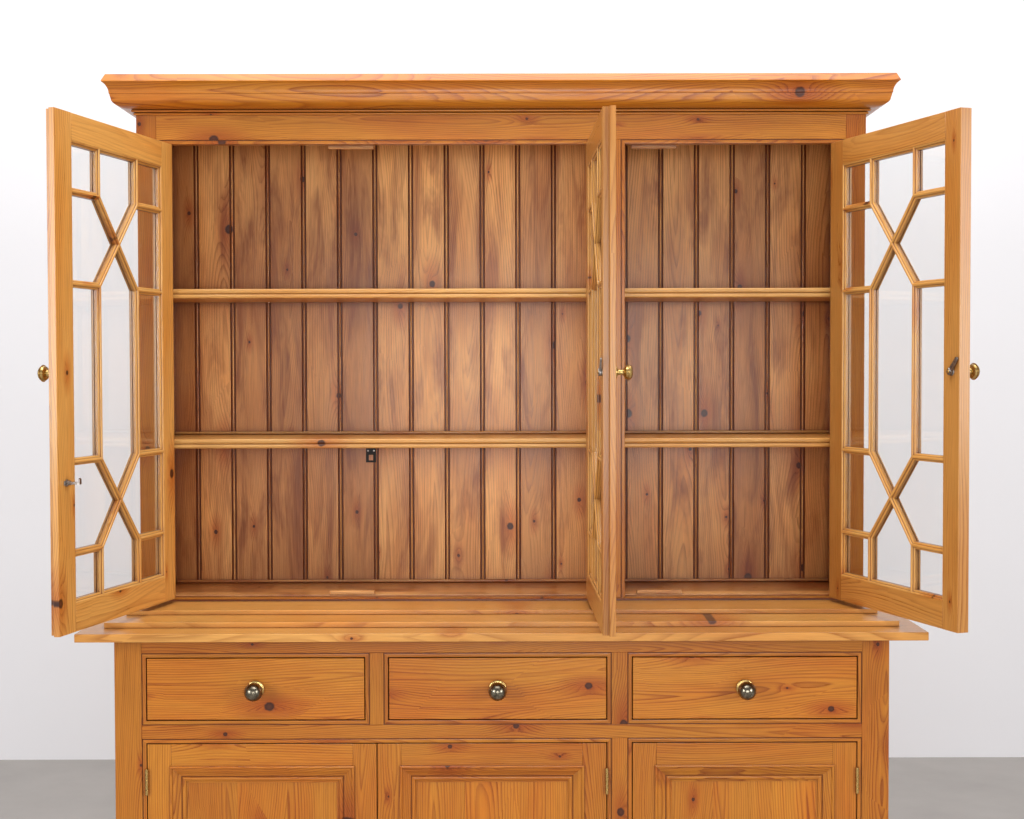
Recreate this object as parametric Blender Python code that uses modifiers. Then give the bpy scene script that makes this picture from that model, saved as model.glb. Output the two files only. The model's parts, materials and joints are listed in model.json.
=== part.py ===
"""A glazed pine dresser: a three-door shelf case on a base with three drawers and three panelled doors.

Metres, +Z up, front facing -Y. The origin is on the floor, under the middle of the base.
The glazed doors stand open, as they do when the shelves are being filled. All else is closed.
"""

import math

import bmesh
import bpy
from mathutils import Matrix, Vector

for item in list(bpy.data.objects):
    bpy.data.objects.remove(item, do_unlink=True)

# Overall sizes
HALF_WIDTH = 0.850
BASE_DEPTH = 0.532
CASE_DEPTH = 0.296
BACK_Y = BASE_DEPTH / 2
BASE_Y = -BASE_DEPTH / 2
CASE_Y = BACK_Y - CASE_DEPTH
GAP = 0.0003
RUN = 0.002
OVERCUT = 0.010
FRAME_T = 0.022
CARCASS_T = 0.020
BACK_T = 0.0147
MULLION_X = 0.258

# Heights above the floor
WORKTOP_Z = 0.870
WORKTOP_T = 0.018
STEP_T = 0.012
CASE_PLINTH_T = 0.010
CASE_Z = WORKTOP_Z + STEP_T + CASE_PLINTH_T
CASE_TOP_Z = 2.100
OPENING_LOW_Z = 0.899
FLOOR_Z = 0.8955
FLOOR_SILL_Y = CASE_Y + 0.0735
OPENING_HIGH_Z = 1.961
DRAWER_LOW_Z = 0.666
DRAWER_HIGH_Z = 0.8055
BASE_DOOR_LOW_Z = 0.105
BASE_DOOR_HIGH_Z = 0.6165
PLINTH_Z = 0.085
SHELF_TOPS = {"upper": 1.6275, "lower": 1.2715}

# Widths of the openings, from the middle of the object
CASE_EDGE_X = 0.794
BASE_EDGE_X = 0.781
CASE_MULLION = 0.060
BASE_MULLION = 0.054
DRAWER_STILE = 0.050

# The stepped boards: how far each stands out at the front and the sides
WORKTOP_OUT = (0.070, 0.067)
STEP_BOARD_Y = -0.262
STEP_BOARD_OUT = 0.023
CASE_PLINTH_Y = -0.161

# Cornice. The cove, the ovolo and the beads are measured out from the case and down from the tip.
CORNICE_OUT = 0.0645
CORNICE_TIP_Z = 2.096
CORNICE_TOP_Z = 2.113
CORNICE_FILLET = 0.008
COVE_FOOT = (0.050, 0.026)
COVE_R = 0.0307
OVOLO_TOP = (0.047, 0.038)
OVOLO_FOOT = (0.010, 0.0555)
CORNICE_BEAD_R = 0.0032
CORNICE_BEADS = ((0.0060, 0.0587), (0.0015, 0.0651))

# Back boards
BOARD_PITCH = 0.090
FIRST_JOINT_X = -0.770
JOINTS = 18
QUIRK = 0.0035
QUIRK_DEPTH = 0.003
BEAD_HALF = 0.003

# Shelves
SHELF_T = 0.0225
SHELF_Y = CASE_Y + 0.048
SHELF_EASE = 0.004
STRIP_T = 0.006
STRIP_HEIGHT = 0.008

# Glazed doors. A pin stands PIN_OUT in front of the face, in the middle of the running gap.
PIN_OUT = 0.004
GLAZED_T = 0.026
STILE = 0.052
TOP_RAIL = 0.056
BOTTOM_RAIL = 0.058
REBATE = 0.0133
REBATE_GAP = 0.0008
BAR = 0.015
BAR_FROM_END = 0.102
CROSS_LENGTH = 0.188
SIDE_PANE = 0.29
GLASS_FACE = 0.010
GLASS_T = 0.003
BAR_T = 0.0097
KNOB_FROM_EDGE = 0.026
DOOR_MID_Z = (OPENING_LOW_Z + OPENING_HIGH_Z) / 2
SPINDLE_R = 0.004
BORE_R = 0.0046

# Latch lever, drawn 49 degrees above the level
LEVER_LENGTH = 0.038
LEVER_T = 0.004
LEVER_HUB_R = 0.0075
LEVER_TIP_R = 0.0028
LEVER_CLEAR = 0.002
LEVER_REST = math.radians(49)

# Elbow catch and its keep
CATCH_Z = 1.2085
CATCH_FROM_EDGE = 0.034
CATCH_REACH = 0.031
CATCH_WIDTH = 0.008
CATCH_HEEL_R = 0.0036
CATCH_HALF_T = 0.0025
BARB_T = 0.0032
BARB_RISE = 0.0105
KEEP_Y = SHELF_Y + 0.003
KEEP_T = 0.002
KEEP_HALF = 0.012
KEEP_LOW_Z = 1.215
KEEP_SLOT = (0.010, 0.013)
KEEP_STRIP = 0.005

# Base doors and drawers
BASE_DOOR_T = 0.022
BASE_STILE = 0.052
PANEL_BACK = 0.018
DRAWER_FRONT_T = 0.020
DRAWER_BOX_BACK_Y = 0.180
DRAWER_WALL = 0.010

DRAWER_BOX_CLEAR = (0.003, 0.002, 0.010)

# The moulding round a panel, from its outer edge inwards, as steps of (inwards, backwards)
PANEL_PROUD = 0.004
PANEL_MOULDING = ((0.003, -0.001), (0.005, 0.0), (0.004, 0.003), (0.010, 0.003), (0.008, 0.001), (0.004, 0.005))

# Knobs. A head's turnings are (radius, drop from the crown) as shares of the head's radius.
DOOR_KNOB_R = 0.0175
DRAWER_KNOB_R = 0.020
BASE_KNOB_R = 0.0165
KNOB_REACH = 2.05
KNOB_CROWN = 0.55
KNOB_TURNINGS = ((0.93, 0.56), (1.00, 0.64), (0.88, 0.90), (0.40, 1.12), (0.30, 1.50))
KNOB_FOOT = ((0.42, 0.0040), (0.72, 0.0030), (0.76, GAP))
BALL_CENTER = 1.55
BALL_FOOT = ((0.40, 0.0070), (0.52, 0.0045), (0.80, 0.0030), (0.84, GAP))

# Hinges
BARREL_R = 0.0036
BARREL_TURN = 350
LEAF = (-0.0007, 0.0001)
GLAZED_HINGE = (0.064, 0.150)
BASE_HINGE = (0.057, 0.083)

# Name, side the hinge is on (+1 when the door runs to +X from its pin), pin's X, width, opening angle
LEFT_PIN_X = -CASE_EDGE_X + RUN / 2
MIDDLE_PIN_X = MULLION_X - CASE_MULLION / 2 - RUN / 2
RIGHT_PIN_X = CASE_EDGE_X - RUN / 2
GLAZED_DOORS = (
    ("left", 1, LEFT_PIN_X, 0.5144, 103.7),
    ("middle", -1, MIDDLE_PIN_X, 0.5154, 90.8),
    ("right", -1, RIGHT_PIN_X, 0.5020, 108.3),
)
PAIR_X = (-BASE_EDGE_X + MULLION_X - BASE_MULLION / 2) / 2
BASE_OPENINGS = (
    (-BASE_EDGE_X, MULLION_X - BASE_MULLION / 2),
    (MULLION_X + BASE_MULLION / 2, BASE_EDGE_X),
)
DRAWERS = (
    ("left", -BASE_EDGE_X, PAIR_X - DRAWER_STILE / 2),
    ("middle", PAIR_X + DRAWER_STILE / 2, BASE_OPENINGS[0][1]),
    ("right", BASE_OPENINGS[1][0], BASE_EDGE_X),
)
BASE_DOORS = (
    ("left", 1, -BASE_EDGE_X + RUN / 2, PAIR_X + BASE_EDGE_X - 1.5 * RUN),
    ("middle", -1, BASE_OPENINGS[0][1] - RUN / 2, BASE_OPENINGS[0][1] - PAIR_X - 1.5 * RUN),
    ("right", -1, BASE_EDGE_X - RUN / 2, BASE_EDGE_X - BASE_OPENINGS[1][0] - 2 * RUN),
)

# Each plane as the matrix that lays a flat outline in it. The outline's thickness runs along the third axis.
PLANES = {
    "XY": Matrix.Identity(4),
    "XZ": Matrix(((1, 0, 0, 0), (0, 0, -1, 0), (0, 1, 0, 0), (0, 0, 0, 1))),
    "YZ": Matrix(((0, 0, 1, 0), (1, 0, 0, 0), (0, 1, 0, 0), (0, 0, 0, 1))),
}
THICK_AXIS = {"XY": 2, "XZ": 1, "YZ": 0}


def new_collection(name):
    made = bpy.data.collections.new(name)
    bpy.context.scene.collection.children.link(made)
    return made


PARTS = new_collection("pine_dresser")
CUTTERS = new_collection("cutters")


def new_material(name, color, roughness, metallic=0.0, transmission=0.0):
    material = bpy.data.materials.new(name)
    material.use_nodes = True
    shader = material.node_tree.nodes["Principled BSDF"]
    shader.inputs["Base Color"].default_value = (*color, 1.0)
    shader.inputs["Roughness"].default_value = roughness
    shader.inputs["Metallic"].default_value = metallic
    shader.inputs["Transmission Weight"].default_value = transmission
    return material


PINE = new_material("waxed_pine", (0.52, 0.24, 0.07), 0.38)
INNER_PINE = new_material("inner_pine", (0.40, 0.20, 0.08), 0.50)
RAW_PINE = new_material("raw_pine", (0.66, 0.44, 0.22), 0.62)
BRASS = new_material("brass", (0.62, 0.42, 0.16), 0.25, 1.0)
OLD_BRASS = new_material("antique_brass", (0.28, 0.22, 0.14), 0.35, 1.0)
STEEL = new_material("steel", (0.50, 0.50, 0.48), 0.35, 1.0)
IRON = new_material("black_iron", (0.03, 0.03, 0.03), 0.55, 0.8)
GLASS = new_material("glass", (0.92, 0.95, 0.94), 0.03, 0.0, 1.0)


def pivot(name, location, turn=0.0):
    """An empty on a joint's axis. The pieces that move with the joint are its children."""
    empty = bpy.data.objects.new(name, None)
    empty.empty_display_size = 0.05
    empty.location = location
    empty.rotation_euler = (0, 0, turn)
    PARTS.objects.link(empty)
    return empty


def add_part(name, mesh, material, parent=None, matrix=None):
    mesh.materials.clear()
    mesh.materials.append(material)
    part = bpy.data.objects.new(name, mesh)
    PARTS.objects.link(part)
    part.parent = parent
    if matrix is not None:
        part.matrix_local = matrix
    return part


def box_mesh(name, low, high):
    body = bmesh.new()
    bmesh.ops.create_cube(body, size=1.0)
    size = Vector(high) - Vector(low)
    middle = (Vector(high) + Vector(low)) / 2
    stretch = Matrix.Translation(middle) @ Matrix.Diagonal((*size, 1))
    bmesh.ops.transform(body, matrix=stretch, verts=body.verts)
    mesh = bpy.data.meshes.new(name)
    body.to_mesh(mesh)
    body.free()
    return mesh


def board(name, low, high, material, parent=None, rounding=0.001, segments=1):
    """A plain board with its edges eased."""
    part = add_part(name, box_mesh(name, low, high), material, parent)
    edge = part.modifiers.new("eased edges", "BEVEL")
    edge.width = rounding
    edge.segments = segments
    return part


def cut_with_box(part, low, high):
    """Cuts a box, given in the part's own space, out of the part."""
    cutter = bpy.data.objects.new("cutter_" + part.name, box_mesh("cutter_" + part.name, low, high))
    CUTTERS.objects.link(cutter)
    cutter.parent = part.parent
    cutter.hide_render = True
    cutter.display_type = "WIRE"
    cut = part.modifiers.new("cut", "BOOLEAN")
    cut.operation = "DIFFERENCE"
    cut.solver = "EXACT"
    cut.object = cutter


def outline_mesh(name, outlines, span, plane):
    """A flat outline, with any further outlines as its holes, made thick along the plane's third axis."""
    curve = bpy.data.curves.new(name, "CURVE")
    curve.dimensions = "2D"
    curve.fill_mode = "BOTH"
    curve.extrude = (span[1] - span[0]) / 2
    for outline in outlines:
        spline = curve.splines.new("POLY")
        spline.points.add(len(outline) - 1)
        spline.use_cyclic_u = True
        for point, place in zip(spline.points, outline):
            point.co = (place[0], place[1], 0, 1)
    holder = bpy.data.objects.new(name, curve)
    bpy.context.scene.collection.objects.link(holder)
    bpy.context.view_layer.update()
    graph = bpy.context.evaluated_depsgraph_get()
    mesh = bpy.data.meshes.new_from_object(holder.evaluated_get(graph))
    bpy.data.objects.remove(holder, do_unlink=True)
    bpy.data.curves.remove(curve)
    middle = [0, 0, 0]
    middle[THICK_AXIS[plane]] = (span[0] + span[1]) / 2
    mesh.transform(Matrix.Translation(middle) @ PLANES[plane])
    body = bmesh.new()
    body.from_mesh(mesh)
    bmesh.ops.remove_doubles(body, verts=body.verts, dist=1e-6)
    bmesh.ops.recalc_face_normals(body, faces=body.faces)
    body.to_mesh(mesh)
    body.free()
    return mesh


def rectangle(left, right, low, high):
    return [(left, low), (right, low), (right, high), (left, high)]


def arc(center, radius, start, end, steps):
    """Points on an arc, with its angles in degrees."""
    points = []
    for step in range(steps + 1):
        angle = math.radians(start + (end - start) * step / steps)
        points.append((center[0] + radius * math.cos(angle), center[1] + radius * math.sin(angle)))
    return points


def turned_part(name, profile, material, parent, matrix, steps=20):
    """A turned piece from (radius, height) points that run down its outer side."""
    mesh = bpy.data.meshes.new(name)
    points = [(radius, 0, height) for radius, height in profile]
    mesh.from_pydata(points, [(i, i + 1) for i in range(len(points) - 1)], [])
    part = add_part(name, mesh, material, parent, matrix)
    screw = part.modifiers.new("turning", "SCREW")
    screw.steps = steps
    screw.render_steps = steps
    screw.use_merge_vertices = True
    screw.merge_threshold = 1e-5
    screw.use_smooth_shade = True
    return part


def sweep_mesh(name, section, stations):
    """A moulding swept past its stations. Each station is a corner and the way that 'out' points there."""
    body = bmesh.new()
    rows = []
    for corner, outward in stations:
        places = [Vector(corner) + Vector(outward) * out + Vector((0, 0, z)) for out, z in section]
        rows.append([body.verts.new(place) for place in places])
    for row, following in zip(rows, rows[1:]):
        for i in range(len(section)):
            j = (i + 1) % len(section)
            body.faces.new((row[i], row[j], following[j], following[i]))
    body.faces.new(rows[0])
    body.faces.new(list(reversed(rows[-1])))
    bmesh.ops.recalc_face_normals(body, faces=body.faces)
    mesh = bpy.data.meshes.new(name)
    body.to_mesh(mesh)
    body.free()
    return mesh


def cornice_section():
    """Back edge, bevelled top fillet, cove, ovolo and two beads, as (out from the case, height)."""
    foot_z = CORNICE_TIP_Z - CORNICE_BEADS[-1][1] - CORNICE_BEAD_R
    section = [(GAP, foot_z), (GAP, CORNICE_TOP_Z)]
    section.append((CORNICE_OUT - CORNICE_FILLET, CORNICE_TOP_Z))
    section.append((CORNICE_OUT, CORNICE_TIP_Z))
    cove_center = (COVE_FOOT[0] + COVE_R, CORNICE_TIP_Z - COVE_FOOT[1])
    section.extend(arc(cove_center, COVE_R, 123, 180, 6))
    wide, tall = OVOLO_TOP[0] - OVOLO_FOOT[0], OVOLO_FOOT[1] - OVOLO_TOP[1]
    for out, down in arc((0, 0), 1, 0, 90, 6):
        section.append((OVOLO_FOOT[0] + wide * out, CORNICE_TIP_Z - OVOLO_TOP[1] - tall * down))
    for out, drop in CORNICE_BEADS:
        section.extend(arc((out, CORNICE_TIP_Z - drop), CORNICE_BEAD_R, 66, -66, 4))
    return section


def make_cornice():
    section = cornice_section()
    stations = (
        ((-HALF_WIDTH, BACK_Y, 0), (-1, 0, 0)),
        ((-HALF_WIDTH, CASE_Y, 0), (-1, -1, 0)),
        ((HALF_WIDTH, CASE_Y, 0), (1, -1, 0)),
        ((HALF_WIDTH, BACK_Y, 0), (1, 0, 0)),
    )
    add_part("cornice", sweep_mesh("cornice", section, stations), PINE)


def make_upper_case():
    mullion = (MULLION_X - CASE_MULLION / 2, MULLION_X + CASE_MULLION / 2)
    frame = [
        rectangle(-HALF_WIDTH, HALF_WIDTH, CASE_Z + GAP, CASE_TOP_Z),
        rectangle(-CASE_EDGE_X, mullion[0], OPENING_LOW_Z, OPENING_HIGH_Z),
        rectangle(mullion[1], CASE_EDGE_X, OPENING_LOW_Z, OPENING_HIGH_Z),
    ]
    mesh = outline_mesh("upper_face_frame", frame, (CASE_Y, CASE_Y + FRAME_T), "XZ")
    add_part("upper_face_frame", mesh, PINE)
    inside = HALF_WIDTH - CARCASS_T
    partition = (MULLION_X - CARCASS_T / 2, MULLION_X + CARCASS_T / 2)
    carcass = [
        rectangle(-HALF_WIDTH, HALF_WIDTH, CASE_Z + GAP, CASE_TOP_Z),
        rectangle(-inside, partition[0], OPENING_LOW_Z, CASE_TOP_Z - CARCASS_T),
        rectangle(partition[1], inside, OPENING_LOW_Z, CASE_TOP_Z - CARCASS_T),
    ]
    span = (CASE_Y + FRAME_T + GAP, BACK_Y - BACK_T - GAP)
    case = add_part("upper_carcass", outline_mesh("upper_carcass", carcass, span, "XZ"), INNER_PINE)
    for left, right in ((-inside, partition[0]), (partition[1], inside)):
        cut_with_box(case, (left, FLOOR_SILL_Y, FLOOR_Z), (right, BACK_Y, OPENING_LOW_Z + OVERCUT))
    for side, left, right in (("left", -inside, partition[0]), ("right", partition[1], inside)):
        for level, top in SHELF_TOPS.items():
            make_shelf(f"shelf_{side}_{level}", left + GAP, right - GAP, top)


def make_shelf(name, left, right, top):
    """A shelf with a rounded front edge and a bead strip standing along its back."""
    low = top - SHELF_T
    back = BACK_Y - BACK_T - 2 * GAP
    nose = (SHELF_T - SHELF_EASE) / 2
    front = SHELF_Y + nose
    strip = back - STRIP_T / 2
    outline = [(back, low), (front, low)]
    outline.extend(arc((front, low + nose), nose, 270, 180, 4)[1:])
    outline.extend(arc((front, top - nose), nose, 180, 90, 4))
    outline.append((back - STRIP_T, top))
    outline.extend(arc((strip, top + STRIP_HEIGHT - STRIP_T / 2), STRIP_T / 2, 180, 0, 4))
    add_part(name, outline_mesh(name, [outline], (left, right), "YZ"), INNER_PINE)


def make_back_boards():
    """Nineteen boards side by side. Each joint is a bead between two quirks."""
    front = BACK_Y - BACK_T
    outline = [(-HALF_WIDTH, BACK_Y), (-HALF_WIDTH, front)]
    for number in range(JOINTS):
        x = FIRST_JOINT_X + BOARD_PITCH * number
        outer = BEAD_HALF + QUIRK
        outline.append((x - outer, front))
        outline.append((x - BEAD_HALF - QUIRK * 0.4, front + QUIRK_DEPTH))
        outline.append((x - BEAD_HALF, front + QUIRK_DEPTH))
        crown = ((0.0022, 0.0008), (0.0, 0.0), (-0.0022, 0.0008))
        outline.extend((x - offset, front + drop) for offset, drop in crown)
        outline.append((x + BEAD_HALF, front + QUIRK_DEPTH))
        outline.append((x + BEAD_HALF + QUIRK * 0.4, front + QUIRK_DEPTH))
        outline.append((x + outer, front))
    outline.extend([(HALF_WIDTH, front), (HALF_WIDTH, BACK_Y)])
    mesh = outline_mesh("upper_back_boards", [outline], (CASE_Z + GAP, CASE_TOP_Z), "XY")
    add_part("upper_back_boards", mesh, INNER_PINE)


def make_stepped_boards():
    front, side = WORKTOP_OUT
    board(
        "worktop",
        (-HALF_WIDTH - side, BASE_Y - front, WORKTOP_Z - WORKTOP_T),
        (HALF_WIDTH + side, BACK_Y, WORKTOP_Z),
        PINE,
        rounding=0.0015,
        segments=2,
    )
    step_top = WORKTOP_Z + STEP_T
    board(
        "step_board",
        (-HALF_WIDTH - STEP_BOARD_OUT, STEP_BOARD_Y, WORKTOP_Z + GAP),
        (HALF_WIDTH + STEP_BOARD_OUT, BACK_Y, step_top),
        PINE,
        rounding=0.0012,
        segments=2,
    )
    board(
        "case_plinth_board",
        (-HALF_WIDTH, CASE_PLINTH_Y, step_top + GAP),
        (HALF_WIDTH, BACK_Y, CASE_Z),
        PINE,
        rounding=0.0012,
        segments=2,
    )


def make_base():
    top = WORKTOP_Z - WORKTOP_T - GAP
    frame = [rectangle(-HALF_WIDTH, HALF_WIDTH, 0, top)]
    frame.extend(rectangle(left, right, DRAWER_LOW_Z, DRAWER_HIGH_Z) for _, left, right in DRAWERS)
    frame.extend(rectangle(left, right, BASE_DOOR_LOW_Z, BASE_DOOR_HIGH_Z) for left, right in BASE_OPENINGS)
    mesh = outline_mesh("base_face_frame", frame, (BASE_Y, BASE_Y + FRAME_T), "XZ")
    add_part("base_face_frame", mesh, PINE)

    inside = HALF_WIDTH - CARCASS_T
    bearer = CARCASS_T
    outer = [(-HALF_WIDTH, 0), (-inside, 0), (-inside, PLINTH_Z), (-bearer, PLINTH_Z), (-bearer, 0)]
    outer.extend((-x, z) for x, z in reversed(outer[:]))
    outer.extend([(HALF_WIDTH, top), (-HALF_WIDTH, top)])
    edges = [-inside, PAIR_X - CARCASS_T / 2, PAIR_X + CARCASS_T / 2]
    edges.extend([MULLION_X - CARCASS_T / 2, MULLION_X + CARCASS_T / 2, inside])
    carcass = [outer]
    dust_top = DRAWER_LOW_Z + GAP
    for left, right in zip(edges[::2], edges[1::2]):
        carcass.append(rectangle(left, right, dust_top, top - CARCASS_T))
    for left, right in ((edges[0], edges[3]), (edges[4], edges[5])):
        carcass.append(rectangle(left, right, BASE_DOOR_LOW_Z, dust_top - CARCASS_T))
    span = (BASE_Y + FRAME_T + GAP, BACK_Y - BACK_T - GAP)
    add_part("base_carcass", outline_mesh("base_carcass", carcass, span, "XZ"), RAW_PINE)
    board("base_back_panel", (-HALF_WIDTH, BACK_Y - BACK_T, PLINTH_Z), (HALF_WIDTH, BACK_Y, top), INNER_PINE)


def knob_profile(radius, spindle=0.0):
    """A domed head with a ring groove, a neck and a small rose. One that turns has a spindle."""
    reach = radius * KNOB_REACH
    profile = [(0, reach)]
    for angle in (0.35, 0.7, 1.05, 1.4):
        profile.append((radius * math.sin(angle), reach - radius * KNOB_CROWN * (1 - math.cos(angle))))
    profile.extend((radius * across, reach - radius * drop) for across, drop in KNOB_TURNINGS)
    profile.extend((radius * across, height) for across, height in KNOB_FOOT)
    if spindle:
        profile.append((SPINDLE_R, GAP))
        profile.append((SPINDLE_R, -spindle))
    profile.append((0, profile[-1][1]))
    return profile


def ball_profile(radius):
    """A ball knob on a short neck and a stepped rose."""
    center = radius * BALL_CENTER
    profile = [(0, center + radius)]
    for step in range(1, 9):
        angle = math.radians(18 * step)
        profile.append((radius * math.sin(angle), center + radius * math.cos(angle)))
    profile.extend((radius * across, height) for across, height in BALL_FOOT)
    profile.append((0, GAP))
    return profile


def facing(x, y, z):
    """The matrix that stands a turned piece on a front face, with its crown towards -Y."""
    return Matrix.Translation((x, y, z)) @ Matrix.Rotation(math.pi / 2, 4, "X")


def make_hinges(kind, name, side, pin_x, pin_y, low, high, size):
    """Two butt hinges. Each is a barrel on the pin's axis and the leaf that is let into the case."""
    length, inset = size
    outline = [(LEAF[0], FRAME_T)]
    start = math.degrees(math.atan2(BARREL_R, LEAF[0]))
    outline.extend(arc((0, 0), BARREL_R, start, start + BARREL_TURN, 12))
    outline.append((LEAF[1], FRAME_T))
    outline = [(pin_x + side * x, pin_y + y) for x, y in outline]
    for level, middle in (("upper", high - inset), ("lower", low + inset)):
        title = f"hinge_{kind}_{name}_{level}"
        add_part(title, outline_mesh(title, [outline], (middle - length / 2, middle + length / 2), "XY"), BRASS)


def bar_panes(left, right, low, high):
    """The thirteen openings between the glazing bars: six side panes, four by the crosses, three in the middle."""
    half = BAR / 2
    posts = (left + SIDE_PANE * (right - left), right - SIDE_PANE * (right - left))
    middle = (left + right) / 2
    slope = math.atan2(CROSS_LENGTH / 2, middle - posts[0])
    across = half / math.sin(slope)
    upright = half / math.cos(slope)
    at_post = half * math.tan(slope / 2)
    at_cross_bar = half * math.tan(math.pi / 4 - slope / 2)
    ends = (low + BAR_FROM_END, low + BAR_FROM_END + CROSS_LENGTH)
    ends += (high - BAR_FROM_END - CROSS_LENGTH, high - BAR_FROM_END)
    levels = ((ends[0] + ends[1]) / 2, (ends[2] + ends[3]) / 2)

    panes = []
    for edge, post, turn in ((left + half, posts[0], 1), (right - half, posts[1], -1)):
        for start, stop in ((low, ends[0]), (ends[1], ends[2]), (ends[3], high)):
            panes.append(rectangle(edge, post - turn * half, start + half, stop - half))
        for start, stop, level in ((ends[0], ends[1], levels[0]), (ends[2], ends[3], levels[1])):
            corner = post - turn * at_post
            pane = [(edge, start + half), (corner, start + half), (middle - turn * across, level)]
            panes.append(pane + [(corner, stop - half), (edge, stop - half)])
    inner = (posts[0] + half, posts[1] - half)
    for end, shoulder, level, turn in ((low, ends[0], levels[0], 1), (high, ends[3], levels[1], -1)):
        step = turn * at_cross_bar
        pane = [(inner[0], end + turn * half), (inner[1], end + turn * half), (inner[1], shoulder - step)]
        panes.append(pane + [(middle, level - turn * upright), (inner[0], shoulder - step)])
    pane = [(middle, levels[0] + upright), (inner[1], ends[1] + at_cross_bar), (inner[1], ends[2] - at_cross_bar)]
    pane += [(middle, levels[1] - upright), (inner[0], ends[2] - at_cross_bar), (inner[0], ends[1] + at_cross_bar)]
    panes.append(pane)
    return panes


def make_glazed_door(name, side, pin_x, width, angle):
    """A glazed door, modelled closed in its pin's space and turned open with it."""
    pin = pivot(f"pin_glazed_{name}", (pin_x, CASE_Y - PIN_OUT, 0), -side * math.radians(angle))
    low, high = OPENING_LOW_Z + RUN, OPENING_HIGH_Z - RUN
    face = PIN_OUT
    near, far = RUN / 2, RUN / 2 + width
    lap = REBATE if name == "left" else 0.0
    clear = (near + STILE, far - lap - STILE, low + BOTTOM_RAIL, high - TOP_RAIL)
    knob_x = far - lap - KNOB_FROM_EDGE
    turning = name != "left"

    outlines = [rectangle(near, far, low, high), rectangle(*clear)]
    if turning:
        outlines.append(arc((knob_x, DOOR_MID_Z), BORE_R, 0, 330, 11))
    outlines = [[(side * x, z) for x, z in outline] for outline in outlines]
    title = f"glazed_door_frame_{name}"
    mesh = outline_mesh(title, outlines, (face, face + GLAZED_T), "XZ")
    frame = add_part(title, mesh, PINE, pin)
    if name != "right":
        half = GLAZED_T / 2
        front, back = -OVERCUT, half + REBATE_GAP / 2
        if name == "middle":
            front, back = half - REBATE_GAP / 2, GLAZED_T + OVERCUT
        ends = sorted((side * (far - REBATE), side * (far + OVERCUT)))
        cut_with_box(frame, (ends[0], face + front, low - OVERCUT), (ends[1], face + back, high + OVERCUT))

    left, right, bottom, top = clear
    left, right, bottom, top = left + GAP, right - GAP, bottom + GAP, top - GAP
    glass_y = face + GLASS_FACE
    ends = sorted((side * left, side * right))
    add_part(
        f"glass_{name}",
        box_mesh(f"glass_{name}", (ends[0], glass_y, bottom), (ends[1], glass_y + GLASS_T, top)),
        GLASS,
        pin,
    )
    outlines = [rectangle(left, right, bottom, top)]
    outlines.extend(bar_panes(left, right, bottom, top))
    outlines = [[(side * x, z) for x, z in outline] for outline in outlines]
    title = f"glazing_bars_{name}"
    bars_y = glass_y + GLASS_T + GAP
    add_part(title, outline_mesh(title, outlines, (bars_y, bars_y + BAR_T), "XZ"), PINE, pin)

    spindle = GLAZED_T + LEVER_CLEAR if turning else 0.0
    profile = knob_profile(DOOR_KNOB_R, spindle)
    turned_part(f"door_knob_{name}", profile, BRASS, pin, facing(side * knob_x, face, DOOR_MID_Z))
    if turning:
        make_turn_latch(name, side, pin, knob_x, face + GLAZED_T)
    else:
        make_elbow_catch(pin, far - CATCH_FROM_EDGE, face + GLAZED_T)
    pin_y = CASE_Y - PIN_OUT
    make_hinges("glazed", name, side, pin_x, pin_y, low, high, GLAZED_HINGE)


def make_turn_latch(name, side, pin, knob_x, inner_face):
    """A tapered lever with a round hub, which turns with its knob."""
    outline = arc((0, 0), LEVER_HUB_R, 40, 320, 10)
    outline.extend(arc((LEVER_LENGTH - LEVER_TIP_R, 0), LEVER_TIP_R, -90, 90, 4))
    turn = Matrix.Rotation(LEVER_REST, 2)
    outline = [turn @ Vector(point) for point in outline]
    outline = [(side * (knob_x + x), DOOR_MID_Z + z) for x, z in outline]
    start = inner_face + LEVER_CLEAR + GAP
    title = f"turn_latch_{name}"
    add_part(title, outline_mesh(title, [outline], (start, start + LEVER_T), "XZ"), STEEL, pin)


def make_elbow_catch(pin, middle_x, inner_face):
    """A lever with a round heel and an upturned barb that drops behind the keep."""
    center = (inner_face + CATCH_HEEL_R + GAP, CATCH_Z)
    neck = center[0] + 1.5 * CATCH_HEEL_R
    tip = inner_face + CATCH_REACH
    low, high = CATCH_Z - CATCH_HALF_T, CATCH_Z + CATCH_HALF_T
    outline = arc(center, CATCH_HEEL_R, 90, 270, 8)
    outline.extend([(neck, low), (tip, low), (tip, CATCH_Z + BARB_RISE - BARB_T)])
    outline.extend([(tip - BARB_T / 2, CATCH_Z + BARB_RISE), (tip - BARB_T, CATCH_Z + BARB_RISE)])
    outline.extend([(tip - BARB_T, high), (neck, high)])
    span = (middle_x - CATCH_WIDTH / 2, middle_x + CATCH_WIDTH / 2)
    add_part("elbow_catch", outline_mesh("elbow_catch", [outline], span, "YZ"), STEEL, pin)


def make_keep():
    """The plate under the lower shelf that the elbow catch drops behind."""
    x = LEFT_PIN_X + RUN / 2 + GLAZED_DOORS[0][3] - CATCH_FROM_EDGE
    top = SHELF_TOPS["lower"] - SHELF_T - GAP
    wide, tall = KEEP_SLOT
    slot_low = KEEP_LOW_Z + KEEP_STRIP
    outlines = [
        rectangle(x - KEEP_HALF, x + KEEP_HALF, KEEP_LOW_Z, top),
        rectangle(x - wide / 2, x + wide / 2, slot_low, slot_low + tall),
    ]
    add_part("catch_keep", outline_mesh("catch_keep", outlines, (KEEP_Y, KEEP_Y + KEEP_T), "XZ"), IRON)


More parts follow.
